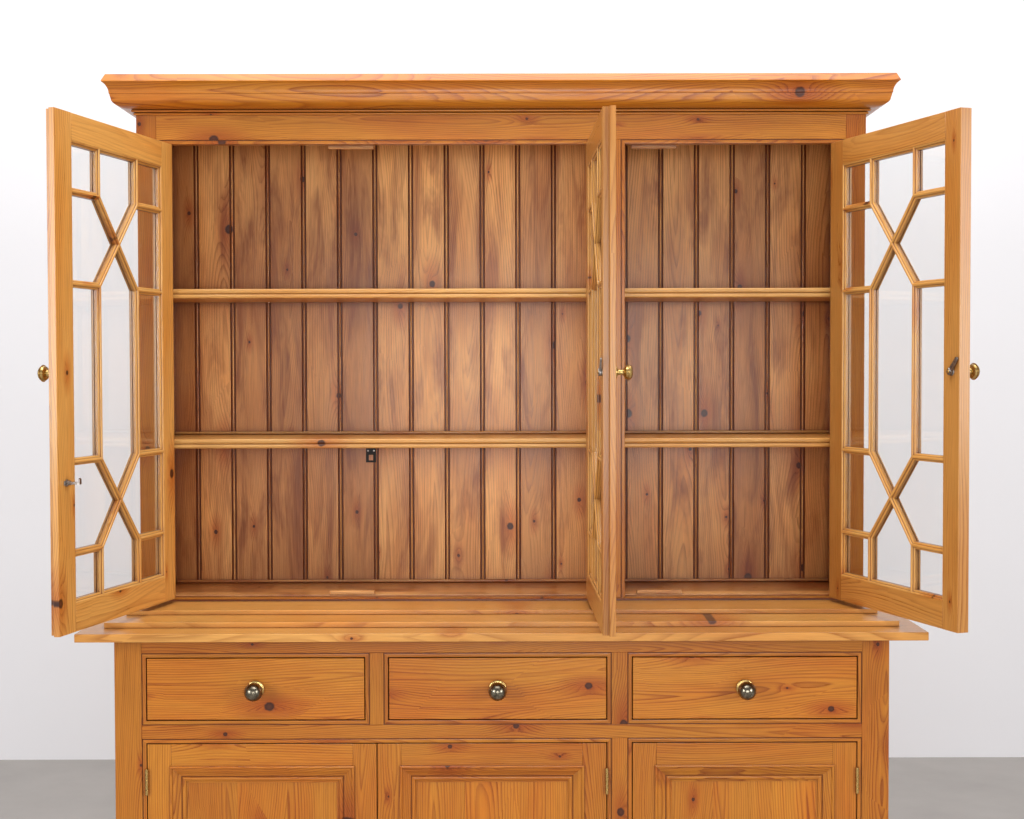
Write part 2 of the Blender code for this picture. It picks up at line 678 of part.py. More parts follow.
def make_drawer(name, left, right):
    low, high = DRAWER_LOW_Z + RUN, DRAWER_HIGH_Z - RUN
    slide = pivot(f"slide_{name}", ((left + right) / 2, BASE_Y, (low + high) / 2))
    half, rise = (right - left) / 2 - RUN, (high - low) / 2
    front = f"drawer_front_{name}"
    board(front, (-half, 0, -rise), (half, DRAWER_FRONT_T, rise), PINE, slide, rounding=0.0015, segments=2)

    box = bmesh.new()
    depth = DRAWER_BOX_BACK_Y - BASE_Y
    beside, below, above = DRAWER_BOX_CLEAR
    size = Vector((2 * (half - beside), depth - DRAWER_FRONT_T - GAP, 2 * rise - below - above))
    middle = Vector((0, (depth + DRAWER_FRONT_T + GAP) / 2, (below - above) / 2))
    bmesh.ops.create_cube(box, size=1.0, matrix=Matrix.Translation(middle) @ Matrix.Diagonal((*size, 1)))
    top = max(box.faces, key=lambda face: face.calc_center_median().z)
    bmesh.ops.inset_individual(box, faces=[top], thickness=DRAWER_WALL, depth=0)
    raised = bmesh.ops.extrude_discrete_faces(box, faces=[top])["faces"]
    down = Vector((0, 0, -(size.z - DRAWER_WALL)))
    bmesh.ops.translate(box, vec=down, verts=list(raised[0].verts))
    mesh = bpy.data.meshes.new(f"drawer_box_{name}")
    box.to_mesh(mesh)
    box.free()
    add_part(f"drawer_box_{name}", mesh, RAW_PINE, slide)
    turned_part(f"drawer_knob_{name}", ball_profile(DRAWER_KNOB_R), OLD_BRASS, slide, facing(0, 0, 0))


def panel_mesh(name, left, right, low, high, front):
    """A flat panel in one with the moulding round it: bead, hollow and inner step."""
    body = bmesh.new()
    size = Vector((right - left, PANEL_BACK + PANEL_PROUD, high - low))
    middle = Vector(((left + right) / 2, front + (PANEL_BACK - PANEL_PROUD) / 2, (low + high) / 2))
    bmesh.ops.create_cube(body, size=1.0, matrix=Matrix.Translation(middle) @ Matrix.Diagonal((*size, 1)))
    face = min(body.faces, key=lambda found: found.calc_center_median().y)
    for run, sink in PANEL_MOULDING:
        bmesh.ops.inset_individual(body, faces=[face], thickness=run, depth=0)
        bmesh.ops.translate(body, vec=(0, sink, 0), verts=list(face.verts))
    bmesh.ops.recalc_face_normals(body, faces=body.faces)
    mesh = bpy.data.meshes.new(name)
    body.to_mesh(mesh)
    body.free()
    return mesh


def make_base_door(name, side, pin_x, width):
    low, high = BASE_DOOR_LOW_Z + RUN, BASE_DOOR_HIGH_Z - RUN
    pin = pivot(f"pin_base_{name}", (pin_x, BASE_Y - PIN_OUT, 0))
    near, far = RUN / 2, RUN / 2 + width
    clear = (near + BASE_STILE, far - BASE_STILE, low + BASE_STILE, high - BASE_STILE)
    outlines = [rectangle(near, far, low, high), rectangle(*clear)]
    outlines = [[(side * x, z) for x, z in outline] for outline in outlines]
    title = f"base_door_frame_{name}"
    mesh = outline_mesh(title, outlines, (PIN_OUT, PIN_OUT + BASE_DOOR_T), "XZ")
    add_part(title, mesh, PINE, pin)
    ends = sorted((side * clear[0], side * clear[1]))
    title = f"base_door_panel_{name}"
    mesh = panel_mesh(title, ends[0] + GAP, ends[1] - GAP, clear[2] + GAP, clear[3] - GAP, PIN_OUT)
    add_part(title, mesh, PINE, pin)
    place = facing(side * (far - KNOB_FROM_EDGE), PIN_OUT, (low + high) / 2)
    turned_part(f"base_door_knob_{name}", ball_profile(BASE_KNOB_R), OLD_BRASS, pin, place, steps=16)
    make_hinges("base", name, side, pin_x, BASE_Y - PIN_OUT, low, high, BASE_HINGE)


make_cornice()
make_upper_case()
make_back_boards()
make_keep()
make_stepped_boards()
make_base()
for drawer in DRAWERS:
    make_drawer(*drawer)
for door in BASE_DOORS:
    make_base_door(*door)
for door in GLAZED_DOORS:
    make_glazed_door(*door)
bpy.context.view_layer.update()
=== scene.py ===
"""The looks of the glazed pine dresser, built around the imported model."""

import json
import math
import random
from collections import namedtuple

import bmesh
import bpy
from mathutils import Matrix, Vector


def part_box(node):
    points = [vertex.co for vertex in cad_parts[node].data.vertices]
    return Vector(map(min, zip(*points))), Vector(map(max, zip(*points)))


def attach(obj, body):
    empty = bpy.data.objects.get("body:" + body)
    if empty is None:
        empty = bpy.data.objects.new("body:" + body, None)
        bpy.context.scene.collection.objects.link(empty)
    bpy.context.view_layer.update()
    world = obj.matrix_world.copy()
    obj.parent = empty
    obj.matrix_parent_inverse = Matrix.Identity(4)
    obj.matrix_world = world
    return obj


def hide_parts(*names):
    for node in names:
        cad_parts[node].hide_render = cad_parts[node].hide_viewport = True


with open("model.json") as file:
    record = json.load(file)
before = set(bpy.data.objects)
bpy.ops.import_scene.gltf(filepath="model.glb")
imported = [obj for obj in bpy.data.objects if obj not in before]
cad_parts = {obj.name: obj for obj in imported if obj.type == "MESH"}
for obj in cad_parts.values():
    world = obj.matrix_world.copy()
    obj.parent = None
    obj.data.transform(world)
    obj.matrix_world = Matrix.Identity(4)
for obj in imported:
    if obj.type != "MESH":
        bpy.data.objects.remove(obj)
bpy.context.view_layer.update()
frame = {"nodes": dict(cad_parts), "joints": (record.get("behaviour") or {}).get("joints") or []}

random.seed(7)

# Construction sizes, in metres
RUN = 0.002  # clearance round a door or a drawer front
GAP = 0.0003  # between a mounted piece and what it stands on
HAIR = 0.00004  # between two boards that touch
EASE = 0.0007  # how far a board's edges are eased
STAVE_EASE = 0.00012
STAVE = 0.110  # width of a stave in a glued board
BEAD = 0.0078  # width of the cock bead round an opening
QUIRK = 0.0019
BEAD_ZONE = BEAD + QUIRK
QUIRK_DEPTH = 0.0028
CARCASS_T = 0.020
LINING = 0.0035  # thickness of the boards inside the case's sides
STILE = 0.052
TOP_RAIL = 0.056
BOTTOM_RAIL = 0.058
LAP = 0.0133  # how far the middle leaf laps over the left one
BOLECTION = (0.036, 0.0106)  # width and depth of the moulding round a base door's panel
PANEL = (0.0108, 0.0178)  # the panel's front and back, behind the door's face
BAR = 0.015  # width of a glazing bar
DRAWER_WALL = 0.010
LEAF = 0.0007  # thickness of a hinge leaf
UPPER_JOINTS = (-0.7671, 0.090)  # the first joint between the back boards, and the pitch
FLOOR_SINK = 0.0035
SILL_RISE = 0.0036
SILL_Y = (0.0285, 0.0735)  # the sill's front and back, behind the case's front
STOP_BLOCKS = ((0.385, 0.388), (0.031, 0.017))  # where the lower and upper block start in each opening
BLOCK = (0.106, 0.012)  # length and depth of a stop block
STRIP = (0.0062, 0.008)  # depth and height of the bead strips at the back
STRIP_ROUND = (0.0025, 3)  # the radius of their edges, and its segments
WALL_Y = 1.937

SIDES = ("left", "middle", "right")
# Painted light and shade: the left leaf gets light tones and the right leaf dark ones, for how the light falls on them
DOOR_LIT_AND_SHADED_TONES = {"left": (0.85, 1.0), "middle": (0.3, 0.5), "right": (0.20, 0.45)}
Opening = namedtuple("Opening", "left right low high")
X, Y, Z = Vector((1, 0, 0)), Vector((0, 1, 0)), Vector((0, 0, 1))
JOINTS = {joint["child"]: joint for joint in frame["joints"]}
ROUND_SCREW = [(0, 0.0004), (0.00154, 0.0005), (0.0022, 0.0), (0.0022, -0.0004), (0, -0.0004)]
FLUSH_SCREW = [(0, 0.00004), (0.00234, 0.00008), (0.0026, 0.0), (0.0026, -0.0003), (0, -0.0003)]


def box(node):
    """A CAD node's low and high corners."""
    low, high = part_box(node)
    return Vector(low), Vector(high)


# Materials


class Value:
    """What a node gives. Arithmetic on it adds math nodes."""

    def __init__(self, graph, socket):
        self.graph, self.socket = graph, socket

    def __add__(self, other):
        return self.graph.math("ADD", self, other)

    def __sub__(self, other):
        return self.graph.math("SUBTRACT", self, other)

    def __mul__(self, other):
        return self.graph.math("MULTIPLY", self, other)

    def __truediv__(self, other):
        return self.graph.math("DIVIDE", self, other)


class Graph:
    """A new material's node tree, with short ways to add the nodes that the looks are made of."""

    def __init__(self, name):
        self.material = bpy.data.materials.new(name)
        self.material.use_nodes = True
        self.tree = self.material.node_tree
        self.shader = self.tree.nodes["Principled BSDF"]

    def set(self, value, socket):
        """Sets a socket from another node's value, a number or a colour."""
        if isinstance(value, Value):
            self.tree.links.new(value.socket, socket)
        else:
            socket.default_value = (*value, 1) if isinstance(value, tuple) else value

    def fill(self, node, **inputs):
        """Sets a node's inputs by name, where an underscore stands for a space."""
        for name, value in inputs.items():
            self.set(value, node.inputs[name.replace("_", " ")])

    def node(self, kind, output=0, settings=(), **inputs):
        """Adds a node and gives its output."""
        node = self.tree.nodes.new(f"ShaderNode{kind}")
        for name, value in settings:
            setattr(node, name, value)
        self.fill(node, **inputs)
        return Value(self, node.outputs[output])

    def math(self, operation, *values):
        node = self.tree.nodes.new("ShaderNodeMath")
        node.operation = operation
        for value, socket in zip(values, node.inputs):
            self.set(value, socket)
        return Value(self, node.outputs[0])

    def reach(self, first, second):
        """The length of a vector from its two parts."""
        return self.math("SQRT", first * first + second * second)

    def vector(self, *parts):
        return self.node("CombineXYZ", **dict(zip("XYZ", parts)))

    def split(self, vector):
        """The three parts of a vector."""
        node = self.tree.nodes.new("ShaderNodeSeparateXYZ")
        self.set(vector, node.inputs[0])
        return [Value(self, output) for output in node.outputs]

    def noise(self, place, scale=1.0, detail=2.0, roughness=0.5, distortion=0.0):
        if isinstance(place, tuple):
            place = self.vector(*place)
        return self.node(
            "TexNoise", "Fac", Vector=place, Scale=scale, Detail=detail, Roughness=roughness, Distortion=distortion
        )

    def ramp(self, value, *stops):
        """A smooth ramp through (place, grey or colour) stops."""
        node = self.tree.nodes.new("ShaderNodeValToRGB")
        self.set(value, node.inputs["Fac"])
        elements = node.color_ramp.elements
        while len(elements) < len(stops):
            elements.new(0.5)
        for element, (place, shade) in zip(elements, stops):
            element.position = place
            element.color = (*shade, 1) if isinstance(shade, tuple) else (shade, shade, shade, 1)
        return Value(self, node.outputs["Color"])

    def blend(self, factor, first, second, mode="MIX"):
        settings = (("data_type", "RGBA"), ("blend_type", mode))
        return self.node("Mix", "Result", settings, Factor=factor, A=first, B=second)

    def attribute(self, name, output="Fac"):
        return self.node("Attribute", output, [("attribute_name", name)])

    def occlusion(self, distance, samples):
        """How open a point is, from the shapes within a distance of it."""
        return self.node("AmbientOcclusion", "AO", [("samples", samples)], Distance=distance)

    def bump(self, height, strength, distance):
        return self.node("Bump", "Normal", Height=height, Strength=strength, Distance=distance)


def knots(graph, along, across):
    """The distance to the nearest knot in knot radii, the same stretched along the grain, and its radius."""
    cell = (4.3, 9.5)
    place = (along * cell[0], across * cell[1])
    voronoi = graph.tree.nodes.new("ShaderNodeTexVoronoi")
    voronoi.voronoi_dimensions = "2D"
    graph.fill(voronoi, Randomness=0.85, Scale=1.0, Vector=graph.vector(*place))
    found = graph.split(Value(graph, voronoi.outputs["Position"]))
    rolls = graph.tree.nodes.new("ShaderNodeSeparateColor")
    graph.tree.links.new(voronoi.outputs["Color"], rolls.inputs[0])
    chance, luck = (Value(graph, rolls.outputs[number]) for number in (0, 1))
    offsets = [(place[axis] - found[axis]) / cell[axis] for axis in (0, 1)]
    ragged = graph.noise((along, across), scale=190, detail=2)
    present = graph.math("GREATER_THAN", chance, 0.42)
    radius = present * (graph.math("POWER", luck, 1.8) * 0.0095 + 0.0036) + 1e-5
    distances = [
        (graph.reach(offsets[0] / stretch, offsets[1]) + ragged * 0.0024) / radius
        for stretch in (1.15, 2.8)
    ]
    return *distances, radius


def stain_and_corner_shade(graph, color, along, across, through, strength):
    """Old brown stain that lies in clouds, with painted shade that darkens the colour towards the corners."""
    place = (along * 1.5, across * 10, through)
    clouds = graph.noise(place, scale=2.2, detail=4, roughness=0.62, distortion=0.6)
    clouds = graph.ramp(clouds, (0.43, 0.0), (0.66, 1.0))
    # Painted shade: an occlusion ramp darkens the colour where other shapes lie within 14 cm, towards the corners
    corners = graph.ramp(graph.occlusion(0.14, 3), (0.30, 1.0), (0.86, 0.0))
    # The amount is the stain's clouds or the painted corner shade, whichever is stronger
    amount = graph.math("MAXIMUM", clouds, corners) * strength
    return graph.blend(amount, color, (0.42, 0.26, 0.18), "MULTIPLY")


def pine(
    # wax is the colour of the old wax in the joints, also used for the painted shade in the crevices
    name, light, dark, orange, wax=(0.150, 0.033, 0.006),
    strength=0.62, roughness=0.34, crevice_wax_and_shade=0.72, gloss=0.17, stain_and_shade=0.0,
):
    """Waxed pine: growth rings that make cathedrals, knots that the rings bend round, fibres, old wax, and painted
    shade in the crevices.
    """
    graph = Graph(name)
    noise, ramp, blend = graph.noise, graph.ramp, graph.blend
    along, across, through = graph.split(graph.attribute("grain", "Vector"))
    tone = graph.attribute("tone")

    # The rings: the distance from a tree's wandering heart, which lies a little below the board's face
    wander = noise((along * 0.9, across), detail=1)
    ripple = noise((along * 3.0, across * 22, through), detail=3)
    depth = noise((along * 1.2, 7.3), detail=1)
    knot, swirl, knot_radius = knots(graph, along, across)
    bend = graph.math("EXPONENT", swirl * -0.50) * (knot_radius * 3.4)
    side = graph.math("PINGPONG", across - wander * 0.16 + 3.08, 0.065) + ripple * 0.008
    rings = graph.reach(side, depth * 0.085 - 0.012 + through) + bend
    year = graph.math("FRACT", rings / (tone * 0.0022 + 0.0032))
    late = ramp(year, (0.0, 0.20), (0.10, 0.0), (0.50, 0.12), (0.82, 0.72), (0.93, 1.0), (1.0, 0.25))
    late = late * ramp(noise((rings * 150, along), detail=1), (0.30, 0.35), (0.66, 1.0))
    fibre = noise((along * 14, across * 420, through * 420), detail=3, roughness=0.6)
    patch = noise((along * 2.2, across * 9, through), detail=3, roughness=0.55)

    # The colour: rings, orange patches, fibres, the board's own tone, stain with painted shade in the corners, knots,
    # and old wax with painted shade in the crevices
    color = blend(late * (patch * 0.9 + (strength - 0.40)), light, dark)
    color = blend(ramp(patch, (0.40, 0.0), (0.70, 0.85)), color, orange, "MULTIPLY")
    color = blend(1.0, color, ramp(fibre, (0.25, 0.82), (0.75, 1.10)), "MULTIPLY")
    shades = ((0.0, (0.70, 0.58, 0.50)), (0.5, (0.93, 0.875, 0.84)), (1.0, (1.14, 1.13, 1.08)))
    color = blend(1.0, color, ramp(tone, *shades), "MULTIPLY")
    if stain_and_shade:
        color = stain_and_corner_shade(graph, color, along, across, through, stain_and_shade)
    color = blend(ramp(swirl * 0.25, (0.20, 0.85), (0.80, 0.0)), color, (0.70, 0.42, 0.26), "MULTIPLY")
    core = ramp(knot, (0.72, 1.0), (1.04, 0.0))
    hearts = ((0.0, (0.090, 0.022, 0.008)), (0.55, (0.062, 0.014, 0.005)), (0.85, (0.020, 0.004, 0.0015)))
    color = blend(core, color, ramp(knot, *hearts))
    # Painted shade: where other shapes lie within 18 mm the colour goes towards the wax colour, partly old wax in the
    # crevices and partly painted shade
    color = blend(ramp(graph.occlusion(0.018, 4), (0.35, crevice_wax_and_shade), (0.94, 0.0)), color, wax)
    color = blend(graph.attribute("wax"), color, wax)

    height = fibre + late * 0.5 - core * 0.8
    graph.fill(
        graph.shader, Base_Color=color, Roughness=fibre * 0.16 + (roughness - 0.08) - late * 0.07,
        Specular_IOR_Level=0.38, Coat_Weight=gloss, Coat_Roughness=0.16, Normal=graph.bump(height, 0.28, 0.0004),
    )
    return graph.material


def metal(name, color, tarnish, roughness, spots=0.5, scale=260):
    """A metal with tarnish gathered in patches and fine scratches."""
    graph = Graph(name)
    place = graph.node("TexCoord", "Object")
    cloud = graph.noise(place, scale=scale, detail=4, roughness=0.6)
    fine = graph.noise(place, scale=scale * 9, detail=2)
    mask = graph.ramp(cloud, (spots - 0.14, 0.0), (spots + 0.16, 1.0))
    graph.fill(
        graph.shader, Base_Color=graph.blend(mask, color, tarnish), Metallic=1.0,
        Roughness=fine * 0.08 + mask * 0.18 + roughness, Normal=graph.bump(cloud, 0.12, 0.0002),
    )
    return graph.material


def clear_glass():
    """Old window glass, not quite flat and not quite clean."""
    graph = Graph("window_glass")
    place = graph.node("TexCoord", "Object")
    graph.fill(
        graph.shader, Base_Color=(0.97, 0.985, 0.98), Transmission_Weight=1.0, IOR=1.45,
        Roughness=graph.ramp(graph.noise(place, scale=9, detail=3), (0.4, 0.01), (0.8, 0.05)),
        Normal=graph.bump(graph.noise(place, scale=6, detail=1), 0.05, 0.001),
    )
    return graph.material


def stage_look(name, color, speckle, scale):
    """A matt surface with clouds of a slightly darker shade."""
    graph = Graph(name)
    cloud = graph.noise(graph.node("TexCoord", "Object"), scale=scale, detail=6, roughness=0.6)
    darker = tuple(part * speckle for part in color)
    graph.fill(graph.shader, Base_Color=graph.ramp(cloud, (0.3, darker), (0.7, color)), Roughness=0.75)
    return graph


MATERIALS = {
    "waxed_pine": pine("waxed_pine", (0.545, 0.212, 0.019), (0.215, 0.042, 0.003), (0.93, 0.66, 0.36), strength=0.80),
    "golden_pine": pine("golden_pine", (0.600, 0.300, 0.075), (0.300, 0.100, 0.018), (0.93, 0.74, 0.50), strength=0.72),
    "pale_pine": pine(
        "pale_pine", (0.60, 0.325, 0.098), (0.40, 0.160, 0.034), (0.95, 0.78, 0.55), strength=0.55, crevice_wax_and_shade=0.8
    ),
    "inner_pine": pine(
        "inner_pine", (0.88, 0.485, 0.170), (0.40, 0.155, 0.036), (0.88, 0.70, 0.50),
        strength=0.70, crevice_wax_and_shade=0.85, gloss=0.10, stain_and_shade=0.88,
    ),
    "raw_pine": pine(
        "raw_pine", (0.74, 0.52, 0.29), (0.56, 0.32, 0.14), (0.95, 0.86, 0.74), (0.40, 0.26, 0.14),
        roughness=0.5, gloss=0.0,
    ),
    "brass": metal("polished_brass", (0.68, 0.47, 0.17), (0.30, 0.17, 0.05), 0.20, 0.56),
    "antique_brass": metal("antique_brass", (0.28, 0.250, 0.190), (0.10, 0.085, 0.06), 0.13, 0.50, 120),
    "steel": metal("bright_steel", (0.36, 0.33, 0.31), (0.14, 0.115, 0.10), 0.36, 0.56),
    "black_iron": metal("japanned_iron", (0.020, 0.019, 0.018), (0.05, 0.03, 0.02), 0.45, 0.66),
    "glass": clear_glass(),
}


# Shapes


def grain_turn(along):
    """The matrix from a shape's own space to its grain: along, across, through."""
    return Matrix((along, Z if along == X else X, Z if along == Y else Y))


class Piece:
    """Gathers the boards and mouldings that make one piece, each with its own grain, tone and wax."""

    def __init__(self, name, slot="waxed_pine", body="case", matrix=None, tone=(0.2, 0.8), look=None):
        self.name, self.slot, self.body, self.matrix = name, slot, body, matrix
        self.tones, self.look = tone, look
        self.verts, self.faces, self.grain, self.tone, self.wax = [], [], [], [], []

    def add(self, verts, faces, grain, wax=None):
        """One closed island. Its grain starts at a place of its own."""
        start = Vector((random.uniform(0, 40), random.uniform(0, 40), 0))
        first = len(self.verts)
        self.verts.extend(verts)
        middle = sum(verts, Vector()) / len(verts)
        self.grain.extend(grain @ (vert - middle) + start for vert in verts)
        self.faces.extend([[first + index for index in face] for face in faces])
        self.wax.extend(wax or [0.0] * len(faces))
        self.tone.extend([random.uniform(*self.tones)] * len(faces))

    def plank(self, xs, ys, zs, along, ease=EASE, segments=1):
        """A board with eased edges, from its two ends on each axis."""
        body = bmesh.new()
        low, high = (Vector(corner) for corner in zip(*map(sorted, (xs, ys, zs))))
        place = Matrix.Translation((low + high) / 2) @ Matrix.Diagonal((*(high - low), 1))
        bmesh.ops.create_cube(body, size=1.0, matrix=place)
        bmesh.ops.bevel(body, geom=body.edges[:], offset=ease, segments=segments, profile=0.5, affect="EDGES")
        body.verts.ensure_lookup_table()
        verts = [vert.co.copy() for vert in body.verts]
        self.add(verts, [[vert.index for vert in face.verts] for face in body.faces], grain_turn(along))
        body.free()

    def staves(self, xs, ys, zs, along, split=1, width=STAVE):
        """A wide board glued up from staves that lie side by side along the split axis (0, 1 or 2)."""
        ranges = [xs, ys, zs]
        low, high = ranges[split]
        count = max(1, round((high - low) / width))
        edges = [low + (high - low) * number / count for number in range(count + 1)]
        for number in range(1, count):
            edges[number] += random.uniform(-0.2, 0.2) * width
        for near, far in zip(edges, edges[1:]):
            ranges[split] = (near + HAIR, far - HAIR)
            self.plank(*ranges, along, ease=STAVE_EASE)

    def prism(self, near, far, grain, wax):
        """Joins two ends that have as many points. The sides whose numbers are in wax are dark with it."""
        count = len(near)
        faces = [[i, (i + 1) % count, (i + 1) % count + count, i + count] for i in range(count)]
        faces += [list(reversed(range(count))), list(range(count, 2 * count))]
        self.add(near + far, faces, grain, [float(i in wax) for i in range(count)] + [0.0, 0.0])

    def moulding(self, profile, start, stop, out, up, cuts, wax=()):
        """A length of moulding. A cut is how far its end runs on for each metre out, so 1 is a mitre."""
        way = (stop - start).normalized()
        near, far = (
            [end + out * across + up * height + way * (across * cut) for across, height in profile]
            for end, cut in ((start, cuts[0]), (stop, -cuts[1]))
        )
        self.prism(near, far, Matrix((way, (out + up).normalized(), (out - up).normalized())), wax)

    def ring(self, profile, corners, up, wax):
        """Mouldings mitred round the inside of a convex outline."""
        count = len(corners)
        centre = sum(corners, Vector()) / count
        for i in range(count):
            before, start, stop, after = (corners[(i + shift) % count] for shift in (-1, 0, 1, 2))
            inside = up.cross((stop - start).normalized())
            if inside.dot(centre - start) < 0:
                inside = -inside
            cuts = [1 / math.tan(half_angle(*trio)) for trio in ((before, start, stop), (start, stop, after))]
            self.moulding(profile, start, stop, inside, up, cuts, wax)

    def extrusion(self, outline, span, along, wax=()):
        """An outline made long between two ends: of (y, z) points along X, or of (x, y) points along Z."""
        near, far = ([Vector((end, a, b) if along == X else (a, b, end)) for a, b in outline] for end in span)
        self.prism(near, far, grain_turn(along), wax)

    def make(self, *replaced, smooth=38):
        """Makes the piece, in place of the nodes it replaces."""
        mesh = bpy.data.meshes.new(self.name)
        mesh.from_pydata(self.verts, [], self.faces)
        grain = mesh.attributes.new("grain", "FLOAT_VECTOR", "POINT")
        grain.data.foreach_set("vector", [part for place in self.grain for part in place])
        for name, values in (("tone", self.tone), ("wax", self.wax)):
            mesh.attributes.new(name, "FLOAT", "FACE").data.foreach_set("value", values)
        body = bmesh.new()
        body.from_mesh(mesh)
        close(body, mesh)
        return finish_piece(self.name, mesh, self.slot, self.body, self.matrix, replaced, smooth, self.look)


def close(body, mesh):
    """Writes a bmesh of closed shapes into a mesh, with its normals outwards."""
    bmesh.ops.recalc_face_normals(body, faces=body.faces)
    body.to_mesh(mesh)
    body.free()


def half_angle(before, corner, after):
    return (before - corner).angle(after - corner) / 2


def new_object(name, data):
    """Makes an object and puts it in the scene."""
    made = bpy.data.objects.new(name, data)
    bpy.context.scene.collection.objects.link(made)
    return made


def finish_piece(name, mesh, slot, body, matrix=None, replaced=(), smooth=38, look=None):
    """Puts a mesh in the scene as a piece that rides on a body."""
    mesh.materials.append(MATERIALS[look or slot])
    mesh.polygons.foreach_set("use_smooth", [True] * len(mesh.polygons))
    mesh.set_sharp_from_angle(angle=math.radians(smooth))
    made = new_object(name, mesh)
    if matrix is not None:
        made.matrix_world = matrix
    bpy.context.view_layer.update()
    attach(made, body)
    if replaced:
        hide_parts(*replaced)
    made.modifiers.new("flat faces stay flat", "WEIGHTED_NORMAL").keep_sharp = True
    return made


def arc(x, y, across, up, start, end, steps):
    """Points on an ellipse with its middle at x, y, between two angles in degrees."""
    angles = [math.radians(start + (end - start) * step / steps) for step in range(steps + 1)]
    return [(x + across * math.cos(angle), y + up * math.sin(angle)) for angle in angles]


def scaled(size, points):
    """Points given in units of a size."""
    return [(size * x, size * y) for x, y in points]


def lathe(body, profile, matrix, steps=40):
    """Adds a turned shape to a bmesh from (radius, height) points, closed on its axis at both ends."""
    angles = [2 * math.pi * step / steps for step in range(steps)]
    rows = []
    for radius, height in profile:
        points = [(radius * math.cos(angle), radius * math.sin(angle), height) for angle in angles]
        rows.append([body.verts.new(matrix @ Vector(point)) for point in (points if radius else points[:1])])
    for row, following in zip(rows, rows[1:]):
        for step in range(steps):
            after = (step + 1) % steps
            corners = [row[step % len(row)], row[after % len(row)]]
            corners += [following[after % len(following)], following[step % len(following)]]
            body.faces.new(list(dict.fromkeys(corners)))


def lathed_piece(name, profile, places, slot, body_name, matrix=None, replaced=(), steps=40, smooth=30):
    """A piece of one turned shape, or of as many as there are places."""
    body = bmesh.new()
    for place in places:
        lathe(body, profile, place, steps)
    mesh = bpy.data.meshes.new(name)
    close(body, mesh)
    return finish_piece(name, mesh, slot, body_name, matrix, replaced, smooth)


def facing(x, y, z, turn=math.pi / 2):
    """Stands a turned shape on a front face, with its crown towards -Y."""
    return Matrix.Translation((x, y, z)) @ Matrix.Rotation(turn, 4, "X")


def behind(x, y, z):
    """Stands a turned shape on a back face, with its crown towards +Y."""
    return facing(x, y, z, -math.pi / 2)


# Doors' own space


def door_space(body):
    """The matrix that carries a piece built with the door closed, pin at the origin, to the door's rest."""
    joint = JOINTS[body]
    turn = math.radians(joint["range_deg"][0])
    pin = Vector(joint["pos_m"])
    pin.z = 0
    return Matrix.Translation(pin) @ Matrix.Rotation(-turn, 4, Vector(joint["axis"]))


def closed_box(node, body):
    """A door node's box in the door's own space."""
    back = door_space(body).inverted()
    points = [back @ vert.co for vert in frame["nodes"][node].data.vertices]
    low = Vector([min(point[axis] for point in points) for axis in range(3)])
    high = Vector([max(point[axis] for point in points) for axis in range(3)])
    return low, high


CASE_LOW, CASE_HIGH = box("upper_face_frame")
BASE_LOW, BASE_HIGH = box("base_face_frame")
CARCASS_LOW, CARCASS_HIGH = box("upper_carcass")
SPACES = {}  # each door's own space, its box there and its pin
for door_kind in ("glazed", "base"):
    for side_name in SIDES:
        title = f"{door_kind}_door_{side_name}"
        extent = closed_box(f"{door_kind}_door_frame_{side_name}", title)
        SPACES[title] = (door_space(title), *extent, Vector(JOINTS[title]["pos_m"]))


def door_opening(kind, first, last):
    """An opening from the pins of its two doors, or from its one door's closed box."""
    _, low, high, pin = SPACES[f"{kind}_door_{last}"]
    left = pin.x + low.x - RUN if first == last else SPACES[f"{kind}_door_{first}"][3].x - RUN / 2
    return Opening(left, pin.x + RUN / 2, low.z - RUN, high.z + RUN)


def drawer_opening(name):
    low, high = box(f"drawer_front_{name}")
    return Opening(low.x - RUN, high.x + RUN, low.z - RUN, high.z + RUN)


CASE_OPENINGS = (door_opening("glazed", "left", "middle"), door_opening("glazed", "right", "right"))
BASE_OPENINGS = (door_opening("base", "left", "middle"), door_opening("base", "right", "right"))
DRAWER_OPENINGS = [drawer_opening(name) for name in SIDES]


# The case


def cornice_section():
    """The cornice from its back edge round the fillet, cove, ovolo and beads."""
    low, high = box("cornice")
    out, top = CASE_LOW.y - low.y, high.z
    tip = top - 0.017
    section = [(GAP, low.z), (GAP, top), (out - 0.0085, top), (out - 0.0078, top - 0.0010)]
    section += [(out - 0.0006, tip + 0.0012), (out - 0.0006, tip - 0.0008), (out - 0.0022, tip - 0.0020)]
    section += arc(out + 0.0162, tip - 0.026, 0.0307, 0.0307, 131, 180, 12)
    section += [(out - 0.0160, tip - 0.0265), (out - 0.0160, tip - 0.0290)]
    section += arc(out - 0.0545, tip - 0.038, 0.036, -0.0175, 0, 90, 14)
    for bead_out, drop in ((out - 0.0585, 0.0587), (out - 0.0630, 0.0651)):
        section.append((bead_out - 0.0012, tip - drop + 0.0031))
        section += arc(bead_out, tip - drop, 0.0032, 0.0032, 52, -62, 7)
    return section


def make_cornice():
    """Three lengths of the cornice, mitred at the front corners."""
    section = cornice_section()
    piece = Piece("cornice_lengths", tone=(0.45, 0.6))
    left, right, front, back = CASE_LOW.x, CASE_HIGH.x, CASE_LOW.y, box("cornice")[1].y
    corners = [Vector((x, y, 0)) for x, y in ((left, back), (left, front), (right, front), (right, back))]
    quirks = {len(section) - 19, len(section) - 10}
    for number, out in enumerate((-X, -Y, X)):
        cuts = (-1.0 if number > 0 else 0.0, -1.0 if number < 2 else 0.0)
        piece.moulding(section, corners[number], corners[number + 1], out, Z, cuts, quirks)
    piece.make("cornice")


def bead_section(depth):
    """A cock bead with the quirk behind it, from the opening's edge outwards."""
    radius = BEAD / 2
    nose = [(x, min(y, 0.0)) for x, y in arc(radius, -radius * 0.45, radius, radius, 180, 0, 8)]
    quirk = [(BEAD, -QUIRK_DEPTH), (BEAD_ZONE - HAIR, -QUIRK_DEPTH), (BEAD_ZONE - HAIR, -depth)]
    return [(0.0, -depth), *nose, *quirk]


